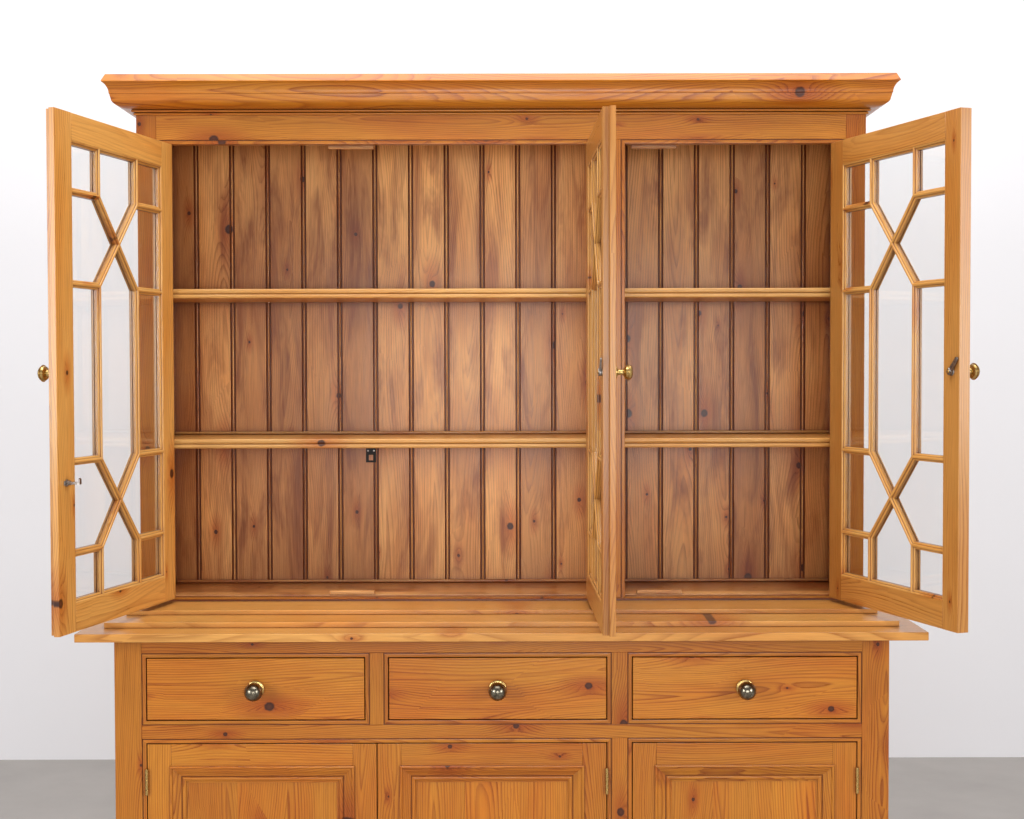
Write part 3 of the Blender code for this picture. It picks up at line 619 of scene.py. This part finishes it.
def add_bead(piece, opening, face_y, depth, three_sided=False):
    """The bead round one opening. On three sides only where the floor of the case closes the fourth."""
    left, right, low, high = opening
    section = bead_section(depth)
    quirk = {len(section) - 4, len(section) - 3}
    corners = [Vector((x, face_y, z)) for x, z in ((left, low), (left, high), (right, high), (right, low))]
    for number, out in enumerate((-X, Z, X, -Z)[: 3 if three_sided else 4]):
        cuts = [0.0 if three_sided and number == square else -1.0 for square in (0, 2)]
        piece.moulding(section, corners[number], corners[(number + 1) % 4], out, -Y, cuts, quirk)


def make_case_frame():
    """Stiles, frieze rail, mullion and thin bottom rail, with the beads round the openings."""
    piece = Piece("case_frame_members", tone=(0.25, 0.50))
    front, back = depth = CASE_LOW.y, CASE_HIGH.y
    low, high = CASE_LOW.z, CASE_HIGH.z
    first, second = CASE_OPENINGS
    left, right, over = first.left - BEAD_ZONE, second.right + BEAD_ZONE, first.high + BEAD_ZONE
    for ends in ((CASE_LOW.x, left), (right, CASE_HIGH.x)):
        piece.plank(ends, depth, (low, high), Z)
    piece.plank((left + HAIR, right - HAIR), depth, (over, high), X)
    piece.plank((first.right + BEAD_ZONE, second.left - BEAD_ZONE), depth, (first.low, over - HAIR), Z)
    top = first.low - HAIR
    sill = [(back, low), (back, top), (front + 0.0012, top), (front + 0.0003, top - 0.0005), (front, top - 0.0013)]
    sill += [(front + 0.0005, top - 0.0022), (front + 0.0030, top - 0.0024), (front + 0.0030, low)]
    # The underside of the sill's nose and the set-back face below it are dark with old wax and with painted shade under
    # the nose
    piece.extrusion(sill, (left + HAIR, right - HAIR), X, {5, 6})
    for opening in CASE_OPENINGS:
        add_bead(piece, opening, front, back - front, three_sided=True)
    piece.make("upper_face_frame")


def make_base_frame():
    """Stiles, three rails, the posts between the drawers and between the doors, and all the beads."""
    piece = Piece("base_frame_members", tone=(0.20, 0.45))
    front, back = depth = BASE_LOW.y, BASE_HIGH.y
    first, second = BASE_OPENINGS
    left, right = first.left - BEAD_ZONE, second.right + BEAD_ZONE
    for ends in ((BASE_LOW.x, left), (right, BASE_HIGH.x)):
        piece.plank(ends, depth, (0, BASE_HIGH.z), Z)
    top = (DRAWER_OPENINGS[0].high + BEAD_ZONE, BASE_HIGH.z)
    middle = (first.high + BEAD_ZONE, DRAWER_OPENINGS[0].low - BEAD_ZONE)
    bottom = (0.0, first.low - BEAD_ZONE)
    for rail in (top, middle, bottom):
        piece.plank((left + HAIR, right - HAIR), depth, rail, X)
    posts = [(*pair, middle[1], top[0]) for pair in zip(DRAWER_OPENINGS, DRAWER_OPENINGS[1:])]
    posts.append((first, second, bottom[1], middle[0]))
    for before, after, low, high in posts:
        piece.plank((before.right + BEAD_ZONE, after.left - BEAD_ZONE), depth, (low + HAIR, high - HAIR), Z)
    for opening in (*DRAWER_OPENINGS, *BASE_OPENINGS):
        add_bead(piece, opening, front, back - front)
    piece.make("base_face_frame")


def make_sides(name, node, low, high):
    """The two sides of a carcass. Gives where their inner faces are."""
    piece = Piece(name, tone=(0.35, 0.7))
    left, right = low.x + CARCASS_T, high.x - CARCASS_T
    for ends in ((low.x, left), (right, high.x)):
        piece.staves(ends, (low.y, high.y), (low.z, high.z), Z)
    piece.make(node)
    return left, right


def make_carcass():
    """Sides, top, floor, partition and stop blocks of the case."""
    back, depth = CARCASS_HIGH.y, (CARCASS_LOW.y, CARCASS_HIGH.y)
    low, high = CARCASS_LOW.z, CARCASS_HIGH.z
    left, right = make_sides("case_sides", "upper_carcass", CARCASS_LOW, CARCASS_HIGH)
    inner = Piece("case_inside", "inner_pine", tone=(0.3, 0.8))
    first, second = CASE_OPENINGS
    floor, sill, ceiling = first.low - FLOOR_SINK, first.low + SILL_RISE, high - CARCASS_T
    middle, half = (first.right + second.left) / 2, CARCASS_T / 2
    inner.staves((left + HAIR, right - HAIR), depth, (ceiling, high), X)
    inner.staves((middle - half, middle + half), depth, (low, ceiling - HAIR), Z)
    for ends in ((left + HAIR, left + LINING), (right - LINING, right - HAIR)):
        inner.staves(ends, depth, (low, ceiling - HAIR), Z, width=0.09)
    sill_y = [CASE_LOW.y + step for step in SILL_Y]
    for near, far in ((left + LINING, middle - half), (middle + half, right - LINING)):
        ends = (near + HAIR, far - HAIR)
        inner.plank(ends, sill_y, (low, sill), X, ease=0.0008)
        # The floor staves get the darkest tones: painted shadow over the floor at the back of the case
        inner.tones = (0.0, 0.12)
        inner.staves(ends, (sill_y[1] + HAIR, back), (low, floor), X)
        inner.tones = (0.6, 0.8)
        inner.plank(ends, (back - STRIP[0], back), (floor + HAIR, floor + STRIP[1]), X, *STRIP_ROUND)
    inner.make()
    blocks = Piece("stop_blocks", "inner_pine", tone=(0.85, 1.0))
    for opening, (lower, upper) in zip(CASE_OPENINGS, STOP_BLOCKS):
        for x, y, heights in (
            (opening.left + lower, sill_y[0], (sill + HAIR, sill + 0.0090)),
            (opening.left + upper, sill_y[0] - 0.0015, (first.high - 0.0070, first.high + 0.010)),
        ):
            blocks.plank((x, x + BLOCK[0]), (y, y + BLOCK[1]), heights, X, 0.0010, 2)
    blocks.make()


def add_beaded_boards(piece, low, high, joints):
    """Tongued boards side by side, each with a bead worked along its right edge between two grooves."""
    left, right, front, back = low.x, high.x, low.y, high.y
    bead, groove, deep, chamfer = 0.0058, 0.0036, 0.0038, 0.0012
    bottom, lip = front + deep, front + 0.0003
    edges = [left, *joints, right]
    for start, stop in zip(edges, edges[1:]):
        begin, end = start + HAIR, stop - HAIR
        outline = [(begin + chamfer, back), (begin, back - chamfer)]
        wax = set()
        if start == left:
            outline += [(begin, front)]
        else:
            outline += [(begin, bottom), (start + groove * 0.45, bottom)]
            outline += [(start + groove, lip), (start + groove + 0.0005, front)]
            wax |= {2, 3}
        if stop == right:
            outline += [(end, front)]
        else:
            quirk = stop - bead - groove
            outline += [(quirk - 0.0005, front), (quirk, lip)]
            outline += [(quirk + groove * 0.55, bottom), (quirk + groove, bottom)]
            last = len(outline) - 1
            outline += arc(stop - bead / 2, front + deep * 0.95, bead / 2, -deep, 168, 12, 8)
            outline += [(end, bottom)]
            wax |= {last - 2, last - 1, last, len(outline) - 3, len(outline) - 2}
        outline += [(end, back - chamfer), (end - chamfer, back)]
        piece.extrusion(outline, (low.z, high.z), Z, wax)


def make_back_boards():
    """The beaded boards behind the shelves, and the ones that close the base."""
    upper = [UPPER_JOINTS[0] + UPPER_JOINTS[1] * number for number in range(18)]
    low, high = box("base_back_panel")
    lower = [low.x + (high.x - low.x) * number / 14 for number in range(1, 14)]
    for name, node, tone, joints in (
        ("beaded_back_boards", "upper_back_boards", (0.05, 1.0), upper),
        ("base_back_boards", "base_back_panel", (0.2, 0.9), lower),
    ):
        piece = Piece(name, "inner_pine", tone=tone)
        add_beaded_boards(piece, *box(node), joints)
        piece.make(node)


def make_shelves():
    """Each shelf has a moulded front edge and a bead strip along its back."""
    for node in [f"shelf_{side}_{level}" for side in ("left", "right") for level in ("upper", "lower")]:
        low, high = box(node)
        front, back, top = low.y, high.y, high.z - STRIP[1]
        thick = top - low.z
        piece = Piece(f"{node}_board", tone=(0.75, 0.95), look="pale_pine")
        nose = []
        for share, start in ((0.42, 0.0), (0.54, 0.46)):
            up = thick * share / 2
            nose += arc(front + up * 0.62, low.z + thick * start + up, up * 0.62, up, 262, 98, 9)
        outline = [(back, low.z), (front + 0.008, low.z), *nose, (front + 0.014, top), (back, top)]
        piece.extrusion(outline, (low.x, high.x), X)
        piece.plank((low.x, high.x), (back - STRIP[0], back), (top + HAIR, high.z), X, *STRIP_ROUND)
        piece.make(node)


def make_stepped_boards():
    """The worktop, and the two thin boards that the case stands on."""
    # Painted light: the golden look and the high tones make these boards lighter, for the light that falls on them from
    # above
    for node, round_off, tone in (
        ("worktop", 0.0014, 0.80), ("step_board", 0.0011, 1.0), ("case_plinth_board", 0.0011, 1.0)
    ):
        piece = Piece(f"{node}_staves", tone=(tone - 0.05, tone), look="golden_pine")
        piece.plank(*zip(*box(node)), X, ease=round_off, segments=3)
        piece.make(node)


def make_base_carcass():
    """Sides, bottom, dust board, dividers, partition and bearer of the base."""
    low, high = box("base_carcass")
    low.z = 0
    depth = (low.y, high.y)
    left, right = make_sides("base_sides", "base_carcass", low, high)
    inside = Piece("base_inside", "raw_pine", tone=(0.3, 0.8))
    first, second = BASE_OPENINGS
    dust = DRAWER_OPENINGS[0].low + GAP
    for top in (first.low, dust, high.z):
        inside.staves((left + HAIR, right - HAIR), depth, (top - CARCASS_T, top), X)
    post, half = (first.right + second.left) / 2, CARCASS_T / 2
    inside.staves((post - half, post + half), depth, (first.low + HAIR, dust - CARCASS_T - HAIR), Z)
    for before, after in zip(DRAWER_OPENINGS, DRAWER_OPENINGS[1:]):
        middle = (before.right + after.left) / 2
        inside.plank((middle - half, middle + half), depth, (dust + HAIR, high.z - CARCASS_T - HAIR), Y)
    inside.plank((-CARCASS_T, CARCASS_T), depth, (0, first.low - CARCASS_T - HAIR), Y)
    inside.make()


# Doors and drawers


def knob_profile(radius, reach):
    """A domed brass head with rings turned in it, a slim neck and a stepped rose."""
    top = reach / radius
    points = [(0, top), *arc(0, top - 0.30, 0.80, 0.30, 82, 18, 8), (0.80, top - 0.26), (0.83, top - 0.29)]
    points += arc(0.76, top - 0.52, 0.24, 0.0576, 62, -62, 9)
    points += [(0.80, top - 0.82), (0.62, top - 0.98), (0.40, top - 1.06), (0.33, top - 1.25)]
    points += [(0.31, 0.45), (0.38, 0.30), (0.50, 0.24), (0.58, 0.18), (0.72, 0.16), (0.75, 0.10)]
    return scaled(radius, points) + [(radius * 0.76, GAP), (0, GAP)]


def ball_profile(radius, reach):
    """A ball head on a waisted neck."""
    top = reach / radius
    points = [(0, top), *arc(0, top - 1, 1, 1, 84, -58, 18), (0.40, 0.44), (0.40, 0.31), (0, 0.31)]
    return scaled(radius, points)


def rose_profile(radius):
    """The stepped disc behind a ball knob."""
    points = ((0, 0.31), (0.58, 0.31), (0.62, 0.28), (0.63, 0.22), (0.86, 0.18), (0.93, 0.14), (0.95, 0.08))
    return scaled(radius, points) + [(radius * 0.95, GAP), (0, GAP)]


def make_ball_knob(kind, name, space=None):
    """A dark ball knob on a bright rose."""
    body, node = f"{kind}_{name}", f"{kind}_knob_{name}"
    low, high = box(node) if space is None else closed_box(node, body)
    radius = (high.x - low.x) / 2
    places = [facing((low.x + high.x) / 2, high.y + GAP, (low.z + high.z) / 2)]
    ball = ball_profile(radius, high.y - low.y + GAP)
    lathed_piece(f"{kind}_pull_{name}", ball, places, "antique_brass", body, space, [node])
    lathed_piece(f"{kind}_rose_{name}", rose_profile(radius), places, "brass", body, space)


def make_drawer(name):
    """The front with its knob, and the box behind it."""
    body = f"drawer_{name}"
    piece = Piece(f"drawer_front_board_{name}", "waxed_pine", body, tone=(0.65, 0.85))
    piece.plank(*zip(*box(f"drawer_front_{name}")), X, ease=0.0018, segments=3)
    piece.make(f"drawer_front_{name}")
    low, high = box(f"drawer_box_{name}")
    wall = DRAWER_WALL
    between = (low.x + wall + HAIR, high.x - wall - HAIR)
    piece = Piece(f"drawer_box_boards_{name}", "raw_pine", body)
    for x in (low.x, high.x - wall):
        piece.plank((x, x + wall), (low.y, high.y), (low.z, high.z), Y, ease=0.0012, segments=2)
    piece.plank(between, (high.y - wall, high.y), (low.z, high.z - 0.006), X)
    piece.plank(between, (low.y, low.y + wall), (low.z, high.z), X)
    piece.staves(between, (low.y + wall, high.y - wall), (low.z + 0.003, low.z + wall), X)
    for y, inward in ((low.y, 1), (high.y, -1)):
        add_dovetails(piece, low, high, y, inward)
    piece.make(f"drawer_box_{name}")
    make_ball_knob("drawer", name)


def add_dovetails(piece, low, high, end, inward):
    """The dark end grain of the tails, as thin inlaid pins on the outside of each side."""
    count = 4
    pitch = (high.z - low.z) / count
    near, far = end + inward * 0.0013, end + inward * (DRAWER_WALL - 0.0005)
    for x, out in ((low.x, -1), (high.x, 1)):
        for number in range(count):
            middle = low.z + pitch * (number + 0.5)
            outline = [(near, middle - 0.005), (far, middle - 0.0028), (far, middle + 0.0028), (near, middle + 0.005)]
            piece.extrusion(outline, (x - out * 0.0010, x + out * 0.00012), X)


def bolection_section(width, depth):
    """The moulding round a base door's panel: back step, ogee, bead and a fine inner fillet."""
    section = [(-0.0035, 0.0002), (-0.0035, 0.0020), *arc(-0.0005, 0.0018, 0.0030, 0.0024, 170, 10, 6)]
    section += [(0.0032, 0.0008), (0.0046, 0.0006)]
    for share in [step / 7 for step in range(1, 8)]:
        section.append((0.0046 + 0.015 * share, 0.0006 - 0.0036 * (1 - math.cos(math.pi * share))))
    section += [(0.0206, -0.0076), (0.0206, -0.0086), (0.0222, -0.0086)]
    section += arc(0.0268, -0.0086, 0.0046, 0.0030, 175, 5, 7)
    return section + [(0.0318, -0.0100), (width, -0.0108), (width, -depth), (HAIR, -depth), (HAIR, 0.0002)]


def make_base_door(name):
    """The frame, the panel of upright staves, the moulding round it and the knob."""
    body = f"base_door_{name}"
    space, low, high, _ = SPACES[body]
    piece = Piece(f"base_door_stiles_{name}", "waxed_pine", body, space, tone=(0.35, 0.65))
    left, right = low.x + STILE, high.x - STILE
    depth = (low.y, high.y)
    for ends in ((low.x, left), (right, high.x)):
        piece.plank(ends, depth, (low.z, high.z), Z, ease=0.0011, segments=2)
    bottom, top = low.z + STILE, high.z - STILE
    for rail in ((low.z, bottom), (top, high.z)):
        piece.plank((left + HAIR, right - HAIR), depth, rail, X)
    if name == "middle":
        # The bead that covers the joint with the left door
        ends, heights = (low.x + BEAD - 0.0006, low.x + BEAD + 0.0002), (low.z + 0.001, high.z - 0.001)
        piece.plank(ends, (low.y - 0.0002, low.y + 0.0004), heights, Z, 0.0001)
    piece.make(f"base_door_frame_{name}")

    panel = Piece(f"base_door_panel_staves_{name}", "waxed_pine", body, space, tone=(0.3, 0.75))
    faces = [low.y + step for step in PANEL]
    panel.staves((left + GAP, right - GAP), faces, (bottom + GAP, top - GAP), Z, 0, width=0.12)
    panel.make(f"base_door_panel_{name}")
    mould = Piece(f"base_door_moulding_{name}", "waxed_pine", body, space, tone=(0.4, 0.6))
    corners = [Vector((x, low.y, z)) for x, z in ((left, bottom), (right, bottom), (right, top), (left, top))]
    section = bolection_section(*BOLECTION)
    quirks = {i for i, (across, height) in enumerate(section) if height < -0.0084 and 0.020 < across < 0.0225}
    mould.ring(section, corners, -Y, quirks)
    mould.make()
    make_ball_knob("base_door", name, space)


def pane_cells(left, right, low, high):
    """The outlines of the thirteen panes, to the middles of the bars between them."""
    inset, end, cross = 0.29 * (right - left), 0.102, 0.188
    posts = (left + inset, right - inset)
    middle = (left + right) / 2
    levels = (low + end, low + end + cross, high - end - cross, high - end)
    crossings = (low + end + cross / 2, high - end - cross / 2)
    cells = []
    for edge, post in zip((left, right), posts):
        for start, stop in ((low, levels[0]), levels[1:3], (levels[3], high)):
            cells.append([(edge, start), (post, start), (post, stop), (edge, stop)])
        for start, stop, level in ((*levels[:2], crossings[0]), (*levels[2:], crossings[1])):
            cells.append([(edge, start), (post, start), (middle, level), (post, stop), (edge, stop)])
    for end_z, shoulder, level in ((low, levels[0], crossings[0]), (high, levels[3], crossings[1])):
        foot = [(posts[0], end_z), (posts[1], end_z)]
        cells.append([*foot, (posts[1], shoulder), (middle, level), (posts[0], shoulder)])
    tall = [(middle, crossings[0]), (posts[1], levels[1]), (posts[1], levels[2]), (middle, crossings[1])]
    return [*cells, tall + [(posts[0], levels[2]), (posts[0], levels[1])]]


def bar_section(rise):
    """Half a glazing bar from its middle to the glass: an astragal nose, a quirk and a sloping shoulder."""
    nose, drop = 0.0036, 0.0036 * 0.8
    section = [(HAIR, 0.0), (HAIR, rise), *arc(0, rise - drop, nose, drop, 78, 6, 6)]
    section += [(nose - 0.0003, rise - drop - 0.0006), (nose + 0.0006, rise - drop - 0.0007)]
    return section + [(BAR / 2, rise - 0.0058), (BAR / 2, 0.0)]


def make_glazed_door(name):
    """The frame, the glazing bars on both faces of the glass, and the hardware."""
    body = f"glazed_door_{name}"
    space, low, high, _ = SPACES[body]
    side = 1 if name == "left" else -1
    near, far = (low.x, high.x)[::side]
    piece = Piece(f"glazed_door_stiles_{name}", "waxed_pine", body, space, DOOR_LIT_AND_SHADED_TONES[name], "golden_pine")
    glass_low, glass_high = closed_box(f"glass_{name}", body)
    sights = (glass_low.x - GAP, glass_high.x + GAP)
    sight_near, sight_far = sights[::side]
    bottom, top = low.z + BOTTOM_RAIL, high.z - TOP_RAIL
    depth = (low.y, high.y)
    piece.plank((near, sight_near), depth, (low.z, high.z), Z, ease=0.0012, segments=2)
    make_leading_stile(piece, name, side, sight_far, far, low, high)
    for rail in ((low.z, bottom), (top, high.z)):
        piece.plank((sight_near + side * HAIR, sight_far - side * HAIR), depth, rail, X)
    piece.make(f"glazed_door_frame_{name}")

    cells = pane_cells(*sights, bottom, top)
    for face, up, glass_y, rise, replaced in (
        ("inner", Y, glass_high.y + GAP, high.y - glass_high.y - 0.0004, [f"glazing_bars_{name}"]),
        ("outer", -Y, glass_low.y - GAP, glass_low.y - low.y - 0.0008, []),
    ):
        bars = Piece(f"glazing_bars_{face}_{name}", "waxed_pine", body, space, tone=(0.80, 1.0), look="pale_pine")
        for cell in cells:
            bars.ring(bar_section(rise - GAP), [Vector((x, glass_y, z)) for x, z in cell], up, {8, 9})
        bars.make(*replaced)
    set_look(f"glass_{name}", "glass")
    make_glazed_hardware(name, body, space, low, high)


def make_leading_stile(piece, name, side, sight, far, low, high):
    """The stile by the knob. Where two leaves meet, it is rebated to lap the other leaf's."""
    front, back, middle = low.y, high.y, (low.y + high.y) / 2
    lip = far - side * LAP
    if name == "left":
        edge = [(lip, front), (lip, middle + 0.0004), (far, middle + 0.0004), (far, back)]
    elif name == "middle":
        edge = [(far, front), (far, middle - 0.0004), (lip, middle - 0.0004), (lip, back)]
    else:
        edge = [(far, front), (far, back)]
    piece.extrusion(eased([(sight, front), *edge, (sight, back)], 0.0009), (low.z, high.z), Z)


def eased(outline, amount):
    """The outline with each corner cut back a little."""
    points = []
    for i, corner in enumerate(outline):
        here = Vector(corner)
        for neighbour in (outline[i - 1], outline[(i + 1) % len(outline)]):
            points.append(tuple(here + (Vector(neighbour) - here).normalized() * amount))
    return points


def make_glazed_hardware(name, body, space, low, high):
    """The brass knob. The left leaf has an elbow catch behind it, and the others a lever that the knob turns."""
    owner = body if name == "left" else f"turn_catch_{name}"
    node = f"door_knob_{name}"
    node_low, node_high = closed_box(node, body)
    x, _, z = (node_low + node_high) / 2
    knob = knob_profile((node_high.x - node_low.x) / 2, low.y - node_low.y)
    lathed_piece(f"door_pull_{name}", knob, [facing(x, low.y, z)], "brass", owner, space, [node], steps=48)
    if name == "left":
        make_elbow_bracket(body, space, high)
        return
    places = [behind(x, high.y, z)]
    plate = [(0, 0.0016), (0.0078, 0.0016), (0.0086, 0.0010), (0.0090, 0.0002), (0.0090, GAP / 3), (0, GAP / 3)]
    washer = [(0, 0.0080), (0.0072, 0.0080), (0.0078, 0.0075), (0.0078, 0.0064), (0, 0.0064)]
    head = [(0, 0.0100), (0.0016, 0.0099), (0.0027, 0.0094), (0.0033, 0.0086), (0.0033, 0.0080), (0, 0.0080)]
    lathed_piece(f"latch_plate_{name}", plate, places, "steel", body, space)
    lathed_piece(f"latch_washer_{name}", washer, places, "steel", owner, space, steps=4, smooth=20)
    lathed_piece(f"latch_screw_{name}", head, places, "brass", owner, space, steps=20)
    set_look(f"turn_latch_{name}", "steel", 0.0006)


def set_look(name, slot, rounding=None):
    """Keeps a CAD node's shape, with a better material, and with eased edges if a rounding is given."""
    node = frame["nodes"][name]
    node.data.materials.clear()
    node.data.materials.append(MATERIALS[slot])
    if rounding:
        edge = node.modifiers.new("eased edges", "BEVEL")
        edge.width, edge.segments = rounding, 2
        edge.limit_method, edge.angle_limit = "ANGLE", math.radians(40)


def make_elbow_bracket(body, space, high):
    """The plate that carries the elbow catch, with its two ears and screws."""
    catch_low, catch_high = closed_box("elbow_catch", body)
    middle = (catch_low.x + catch_high.x) / 2
    z, tall, ear = catch_low.z + 0.0035, 0.0075, 0.0045
    face = high.y + GAP / 3
    piece = Piece("elbow_bracket", "steel", body, space)
    piece.plank((middle - 0.0042, middle + 0.0042), (face, high.y + 0.0002), (z - tall, z + tall), Z, 0.00005)
    for out in (-1, 1):
        for near, far, back in ((0.0044, 0.0056, 0.0075), (0.0056, 0.0110, 0.0013)):
            ends = (middle + out * near, middle + out * far)
            piece.plank(ends, (face, high.y + back), (z - ear, z + ear), Z, 0.0003)
    piece.make(smooth=20)
    places = [behind(middle + out * 0.0085, high.y + 0.0016, z) for out in (-1, 1)]
    lathed_piece("elbow_bracket_screws", ROUND_SCREW, places, "steel", body, space, steps=16)
    set_look("elbow_catch", "steel", 0.0005)


def make_hinges():
    """Butt hinges: five knuckles and two leaves, with a small cap at each end of the pin."""
    for kind in ("glazed", "base"):
        for name in SIDES:
            for level in ("upper", "lower"):
                make_hinge(f"hinge_{kind}_{name}_{level}", f"{kind}_door_{name}", 1 if name == "left" else -1)


def make_hinge(node, door, side):
    """One half on the case and one on the door, each with its knuckles, its leaf and three screws."""
    low, high = box(node)
    space, _, _, pin = SPACES[door]
    radius, length = (high.x - low.x) / 2, high.z - low.z
    step, back, leaf_start = length / 5, high.y - pin.y, radius * 0.9
    for half, owner, matrix, knuckles, offset, flip in (
        ("case", "case", Matrix.Translation((pin.x, pin.y, 0)), (0, 2, 4), -0.0007, side),
        ("door", door, space, (1, 3), 0.00025, -side),
    ):
        body = bmesh.new()
        for number in knuckles:
            start, stop = low.z + step * number + 0.00015, low.z + step * (number + 1) - 0.00015
            ring = [(0, stop), (radius - 0.0004, stop), (radius, stop - 0.0004)]
            ring += [(radius, start + 0.0004), (radius - 0.0004, start), (0, start)]
            lathe(body, ring, Matrix.Identity(4), 24)
        if half == "case":
            cap = [(0, 0.0009), (0.0013, 0.0008), (0.0020, 0.0003), (0.0020, 0), (0, 0)]
            for sign, level in ((1, high.z), (-1, low.z)):
                lathe(body, cap, Matrix.Translation((0, 0, level)) @ Matrix.Diagonal((1, 1, sign, 1)), 20)
        x = side * (offset + LEAF / 2)
        place = Matrix.Translation((x, (back + leaf_start) / 2, (low.z + high.z) / 2))
        bmesh.ops.create_cube(body, size=1.0, matrix=place @ Matrix.Diagonal((LEAF, back - leaf_start, length, 1)))
        title = f"{node}_{half}_half"
        mesh = bpy.data.meshes.new(title)
        close(body, mesh)
        finish_piece(title, mesh, "brass", owner, matrix, [node] if half == "case" else [], 30)
        turn = Matrix.Rotation(flip * math.pi / 2, 4, "Y")
        heights = [low.z + length * (number + 0.5) / 3 for number in range(3)]
        places = [Matrix.Translation((x + flip * LEAF / 2, back * 0.62, z)) @ turn for z in heights]
        lathed_piece(f"{title}_screws", FLUSH_SCREW, places, "brass", owner, matrix, steps=14)


def make_keep():
    """The iron plate that the elbow catch holds on to."""
    low, high = box("catch_keep")
    set_look("catch_keep", "black_iron", 0.0004)
    x, y, z = (low.x + high.x) / 2, low.y - 0.0003, high.z - 0.006
    places = [facing(x + out * 0.0070, y, z) for out in (-1, 1)]
    lathed_piece("catch_keep_screws", ROUND_SCREW, places, "steel", "case", steps=16)


# Stage, camera and light


def make_stage():
    """A pale floor and a white wall behind, which can be looked through from its back."""
    concrete = stage_look("pale_concrete", (0.40, 0.375, 0.355), 0.86, 3.0)
    white = stage_look("white_wall", (0.80, 0.80, 0.83), 0.985, 1.5)
    one_sided = white.tree.nodes.new("ShaderNodeMixShader")
    seen = Value(white, white.shader.outputs["BSDF"])
    sources = (white.node("NewGeometry", "Backfacing"), seen, white.node("BsdfTransparent"))
    for source, socket in zip(sources, one_sided.inputs):
        white.set(source, socket)
    white.set(Value(white, one_sided.outputs[0]), white.tree.nodes["Material Output"].inputs["Surface"])
    floor = [(-7, -8, 0), (7, -8, 0), (7, 8, 0), (-7, 8, 0)]
    wall = [(-7, WALL_Y, 0), (7, WALL_Y, 0), (7, WALL_Y, 5), (-7, WALL_Y, 5)]
    for name, corners, look in (("floor", floor, concrete), ("backdrop", wall, white)):
        mesh = bpy.data.meshes.new(name)
        mesh.from_pydata(corners, [], [(0, 1, 2, 3)])
        mesh.materials.append(look.material)
        new_object(name, mesh)


def make_camera():
    """Looks straight at the front from head height, a touch downwards."""
    camera = new_object("camera", bpy.data.cameras.new("camera"))
    camera.data.sensor_width = 36.0
    camera.data.lens = 52.47
    forward = Vector((0.0022, 1.0, -0.0283)).normalized()
    right = Vector((1.0, -0.0022, -0.0021))
    right = (right - forward * right.dot(forward)).normalized()
    up = right.cross(forward)
    turn = Matrix((right, up, -forward)).transposed().to_4x4()
    camera.matrix_world = Matrix.Translation((0.016, CASE_LOW.y - 3.4927, 1.4405)) @ turn
    bpy.context.scene.camera = camera


def soft_light(name, place, target, size, power):
    """A rectangular light that looks at a target."""
    light = bpy.data.lights.new(name, "AREA")
    light.shape = "RECTANGLE"
    light.size, light.size_y = size
    light.energy = power
    holder = new_object(name, light)
    holder.location = place
    holder.rotation_mode = "QUATERNION"
    holder.rotation_quaternion = (Vector(target) - Vector(place)).to_track_quat("-Z", "Y")


def make_lights():
    soft_light("key", (-3.5, -3.3, 1.8), (0, 0, 1.15), (1.5, 1.5), 88)
    soft_light("fill", (3.6, -3.1, 1.8), (0, 0, 1.15), (1.5, 1.5), 76)
    soft_light("front", (0.2, -4.6, 1.4), (0, 0, 1.15), (2.4, 1.2), 66)
    soft_light("top", (0, -1.1, 4.2), (0, 0.0, 0.8), (3.0, 2.0), 120)
    soft_light("wall_wash", (0, 0.6, 4.3), (0, WALL_Y, 1.9), (6.0, 0.8), 50)
    world = bpy.data.worlds.new("studio")
    world.use_nodes = True
    world.node_tree.nodes["Background"].inputs["Color"].default_value = (1.0, 0.985, 0.97, 1)
    world.node_tree.nodes["Background"].inputs["Strength"].default_value = 0.28
    bpy.context.scene.world = world
    bpy.context.scene.view_settings.view_transform = "Standard"


make_cornice()
make_case_frame()
make_carcass()
make_back_boards()
make_shelves()
make_keep()
make_stepped_boards()
make_base_frame()
make_base_carcass()
for side_name in SIDES:
    make_drawer(side_name)
    make_base_door(side_name)
    make_glazed_door(side_name)
make_hinges()
make_stage()
make_camera()
make_lights()
